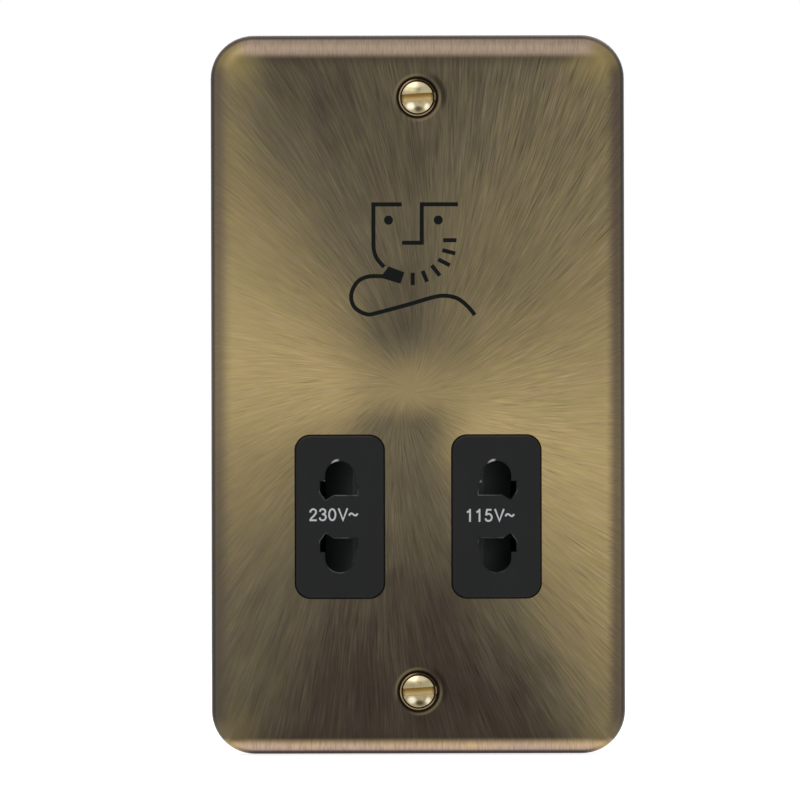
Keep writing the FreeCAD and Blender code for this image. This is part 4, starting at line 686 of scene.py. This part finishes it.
dress(sleeve("brown_insulation", paint(82, 48, 30), paint(98, 60, 38)),
      "lead_live", "lead_switched", "lead_cutout")
dress(sleeve("blue_insulation", paint(28, 78, 150), paint(44, 96, 170)), "lead_neutral")
dress(sleeve("grey_insulation", paint(122, 126, 130), paint(142, 146, 150)),
      "lead_230", "lead_115")
dress(sleeve("white_insulation", paint(214, 214, 208), paint(228, 228, 224)), "lead_common")


# Rear housing. A deep black moulded cover over everything behind the plate, with vents over
# the transformer. Its own screws go into posts on the socket moulding.
black_plastic = moulded("black_satin_plastic", paint(14, 15, 16), paint(24, 25, 26),
                        gloss=0.42, grain=0.22, depth=0.012)
dress(black_plastic, "rear_housing")
dress(zinc, "housing_screws")


# Fixing screws. Two long slotted screws of polished brass with a raised head, which sit in the
# dimples of the plate and go into the lugs of the wall box. Their threads are rolled.
HEAD_RADIUS, SHANK_RADIUS, TIP_RADIUS = 3.85, 1.75, 1.3
APEX_Y, RIM_Y, NECK_Y, TIP_Y = -6.2, -5.2, -3.1, 26.8
DOME_HEIGHT = RIM_Y - APEX_Y
DOME_RADIUS = (HEAD_RADIUS ** 2 + DOME_HEIGHT ** 2) / 2 / DOME_HEIGHT
DOME_EDGE, DOME_RINGS = 3.2, 14
SLOT_LENGTH, SLOT_WIDTH, SLOT_FLOOR, SLOT_TILT = 10, 1.6, -5.05, math.radians(4.0)
THREAD_PITCH, THREAD_DEPTH, THREAD_RUN_OUT = 0.6, 0.3, 0.8
THREAD_TOP, THREAD_END = -1.5, 26.5
SHANK_TOP, ROWS_IN_A_PITCH = -1.6, 6
SIDES = 64
# from the edge of the dome through a fine groove and over the rounded rim, as (radius, y)
GROOVE_AND_RIM = [
    (3.25, -5.42), (3.26, -5.16), (3.3, -5.12), (3.4, -5.12), (3.44, -5.16), (3.45, -5.28),
    (3.49, -5.34), (3.58, -5.36), (3.68, -5.35), (3.78, -5.29), (HEAD_RADIUS, RIM_Y),
    (3.84, -5.14)]

polish = Finish("polished_brass")
swirl = polish.grain(0.5, 4, (1, 1, 1), (4, 4, 4))
up = polish.z - polish.z.math("SIGN") * SCREW_PITCH / 2
from_axis = polish.away(polish.x, up)
leaning = (polish.x * 0.8 + up * 0.6) / from_axis
in_head = polish.y.rise(-5.0, -5.1)
# darker in the groove, and painted shade under the rim and on the side of the rim that faces away
# from the light
groove = from_axis.rise(3.12, 3.26) * from_axis.rise(3.56, 3.44) * polish.y.rise(-5.36, -5.2)
rim = from_axis.rise(3.4, 3.5) * in_head
rim_shaded_side = rim * leaning.rise(0.1, 0.75) * 0.9
dark_groove_and_rim_shade = groove.math("MAXIMUM", from_axis.rise(3.74, 3.86)).math("MAXIMUM", rim_shaded_side)
across_slot = up * math.cos(SLOT_TILT) - polish.x * math.sin(SLOT_TILT)
along_slot = polish.x * math.cos(SLOT_TILT) + up * math.sin(SLOT_TILT)
bright = swirl.between(paint(150, 138, 106), paint(172, 160, 126))
dull = polish.grain(1.7, 2, (1, 1, 1), (9, 1, 5)).rise(0.42, 0.62)
bright = (dull * 0.35).between(bright, paint(112, 100, 70))
# what the polished dome mirrors: a pale wall above, and two lamps with a dark gap below, each
# with its place, half width, half height and colour
for x, z, long, high, tone in ((-0.3, 2.6, 2.6, 0.8, (206, 194, 164)),
                               (-1.35, -1.75, 1.1, 0.95, (252, 244, 222)),
                               (1.95, -1.9, 0.75, 0.95, (246, 234, 204)),
                               (0.25, -2.35, 1.1, 0.75, (40, 34, 18))):
    spot = polish.away((polish.x - x) / long, (up - z) / high)
    bright = (spot.rise(1.1, 0.3) * (swirl * 0.5 + 0.55)).math("MINIMUM", 0.9).between(
        bright, paint(*tone))
# the rim is painted darker, as painted shade
bright = (rim * 0.75).between(bright, paint(122, 100, 74))
# painted shade in the slot: its floor is darker under its upper wall, and darkest at its ends
slot_floor_shaded = across_slot.rise(-0.6, 0.5).between(paint(182, 160, 112), paint(132, 104, 52))
slot_floor_shaded = (abs(along_slot).rise(2.5, 3.2) * 0.7).between(slot_floor_shaded, paint(70, 48, 22))
in_slot = from_axis.rise(3.3, 3.2) * polish.y.rise(-5.35, -5.2)
bright = in_slot.between(bright, slot_floor_shaded)
polished = polish.shade({
    "Base Color": dark_groove_and_rim_shade.between(bright, paint(34, 24, 14)), "Metallic": 1.0,
    "Roughness": 0.24 + (swirl - 0.5) * 0.08 + dark_groove_and_rim_shade * 0.35 + in_slot * 0.2,
    "Normal": polish.relief(swirl, depth=0.006, strength=0.4)})


def thread_groove(along, share_of_turn):
    """How far the thread is cut into the shank at one place, from 0 on its crest."""
    depth = THREAD_DEPTH * min(1, max(0, along - THREAD_TOP) / THREAD_RUN_OUT,
                               max(0, THREAD_END - along) / THREAD_RUN_OUT)
    tooth = abs((along / THREAD_PITCH - share_of_turn) % 1 - 0.5) * 2
    return depth * min(1, max(0, (tooth - 0.12) / 0.76))


for name, centre in (("upper_fixing_screw", SCREW_PITCH / 2),
                     ("lower_fixing_screw", -SCREW_PITCH / 2)):
    profile = []
    for step in range(1, DOME_RINGS + 1):
        radius = DOME_EDGE * step / DOME_RINGS
        profile.append((radius, APEX_Y + DOME_RADIUS - math.sqrt(DOME_RADIUS ** 2 - radius ** 2)))
    profile += GROOVE_AND_RIM
    profile += [(SHANK_RADIUS + 0.1, NECK_Y - 0.1), (SHANK_RADIUS, NECK_Y + 0.1)]
    rows = int((THREAD_END - SHANK_TOP) / (THREAD_PITCH / ROWS_IN_A_PITCH))
    profile += [(SHANK_RADIUS, SHANK_TOP + row * THREAD_PITCH / ROWS_IN_A_PITCH)
                for row in range(rows + 1)]
    profile.append((TIP_RADIUS, TIP_Y))
    screw = bmesh.new()
    rings = []
    for radius, along in profile:
        ring = []
        for step in range(SIDES):
            angle = math.tau * step / SIDES
            here = radius - thread_groove(along, step / SIDES)
            ring.append(screw.verts.new((here * math.cos(angle) * MM, along * MM,
                                         (centre + here * math.sin(angle)) * MM)))
        rings.append(ring)
    for first, second in zip(rings, rings[1:]):
        for step in range(SIDES):
            after = (step + 1) % SIDES
            screw.faces.new((first[step], first[after], second[after], second[step]))
    for ring, along in ((rings[0], APEX_Y), (rings[-1], TIP_Y)):
        pole = screw.verts.new((0, along * MM, centre * MM))
        for step in range(SIDES):
            screw.faces.new((ring[step], ring[(step + 1) % SIDES], pole))
    piece = new_piece(name, screw, polished)

    # the slot is sawn out of the head, a little askew
    chisel = bmesh.new()
    bmesh.ops.create_cube(chisel, size=1)
    for spot in chisel.verts:
        across = spot.co.z * SLOT_WIDTH
        length = spot.co.x * SLOT_LENGTH
        spot.co = Vector((
            (length * math.cos(SLOT_TILT) - across * math.sin(SLOT_TILT)) * MM,
            (SLOT_FLOOR if spot.co.y > 0 else APEX_Y - 1) * MM,
            (centre + length * math.sin(SLOT_TILT) + across * math.cos(SLOT_TILT)) * MM))
    chisel = new_piece("slot_cutter", chisel, polished)
    sawn = piece.modifiers.new("slot", "BOOLEAN")
    sawn.object = chisel
    sawn.solver = "EXACT"
    bpy.context.view_layer.update()
    slotted = bpy.data.meshes.new_from_object(piece.evaluated_get(
        bpy.context.evaluated_depsgraph_get()))
    piece.modifiers.clear()
    piece.data = slotted
    slotted.shade_smooth()
    slotted.set_sharp_from_angle(angle=SHARP_EDGE)
    bpy.data.objects.remove(chisel)
    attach(piece, "unit")
    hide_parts("fixing_screws")


# Studio. A pale floor just under the plate, two large soft lamps in front and one behind, and
# white all round, which only the camera, gloss and glass see at full strength. The camera is
# far off and leans by a hair, because so does the view in the photograph.
FLOOR_Z = plate_low.z - 0.2 * MM
FLOOR_REACH = 6
FLOOR_GLOW, AIR_GLOW = 0.64, 0.55
CAMERA_PLACE = (-0.00364, -2.7125, -0.00112)
CAMERA_LEAN = math.radians(0.12)


def seen_directly(nodes):
    """1 for what the camera sees, also in gloss and through glass, and 0 for plain light."""
    kinds = [nodes.node("LightPath", {}, {}, f"Is {kind} Ray")
             for kind in ("Camera", "Glossy", "Transmission")]
    return kinds[0].math("MAXIMUM", kinds[1]).math("MAXIMUM", kinds[2])


studio = Finish("studio_floor")
paper = studio.grain(30.0, 3)
diffuse = studio.node("BsdfDiffuse", {}, {"Color": paper.between(paint(224, 224, 224),
                                                                 paint(228, 228, 228))})
glow = studio.node("Emission", {}, {"Color": (1, 1, 1, 1), "Strength": FLOOR_GLOW})
lit = studio.node("AddShader", {}, {0: diffuse, 1: glow})
lit = studio.node("MixShader", {}, {0: seen_directly(studio), 1: diffuse, 2: lit})
studio.node("OutputMaterial", {}, {"Surface": lit})
ground = bmesh.new()
bmesh.ops.create_grid(ground, x_segments=4, y_segments=4, size=FLOOR_REACH)
for spot in ground.verts:
    spot.co.z = FLOOR_Z
floor = new_piece("studio_floor", ground, studio.material)

world = bpy.data.worlds.new("studio_world")
bpy.context.scene.world = world
air = Nodes(world)
dim, white = [air.node("Background", {}, {"Color": (1, 1, 1, 1), "Strength": strength})
              for strength in (AIR_GLOW, 1.0)]
sky = air.node("MixShader", {}, {0: seen_directly(air), 1: dim, 2: white})
air.node("OutputWorld", {}, {"Surface": sky})

# each lamp's place, size and power
for name, spot, size, power in (("key_lamp", (-0.3, -0.6, 0.6), 0.6, 1.9),
                                ("fill_lamp", (0.5, -0.7, 0.2), 0.7, 0.5),
                                ("back_lamp", (0.1, 0.7, 0.5), 0.6, 1.5)):
    lamp = bpy.data.lights.new(name, "AREA")
    lamp.size = size
    lamp.energy = power
    holder = bpy.data.objects.new(name, lamp)
    holder.location = spot
    holder.rotation_euler = (-Vector(spot)).to_track_quat("-Z", "Y").to_euler()
    bpy.context.scene.collection.objects.link(holder)

lens = bpy.data.cameras.new("camera")
lens.lens = 600
lens.sensor_width = 36
lens.clip_end = 100
camera = bpy.data.objects.new("camera", lens)
camera.location = CAMERA_PLACE
camera.rotation_euler = (math.pi / 2, CAMERA_LEAN, 0)
bpy.context.scene.collection.objects.link(camera)
bpy.context.scene.camera = camera
bpy.context.scene.view_settings.view_transform = "Standard"
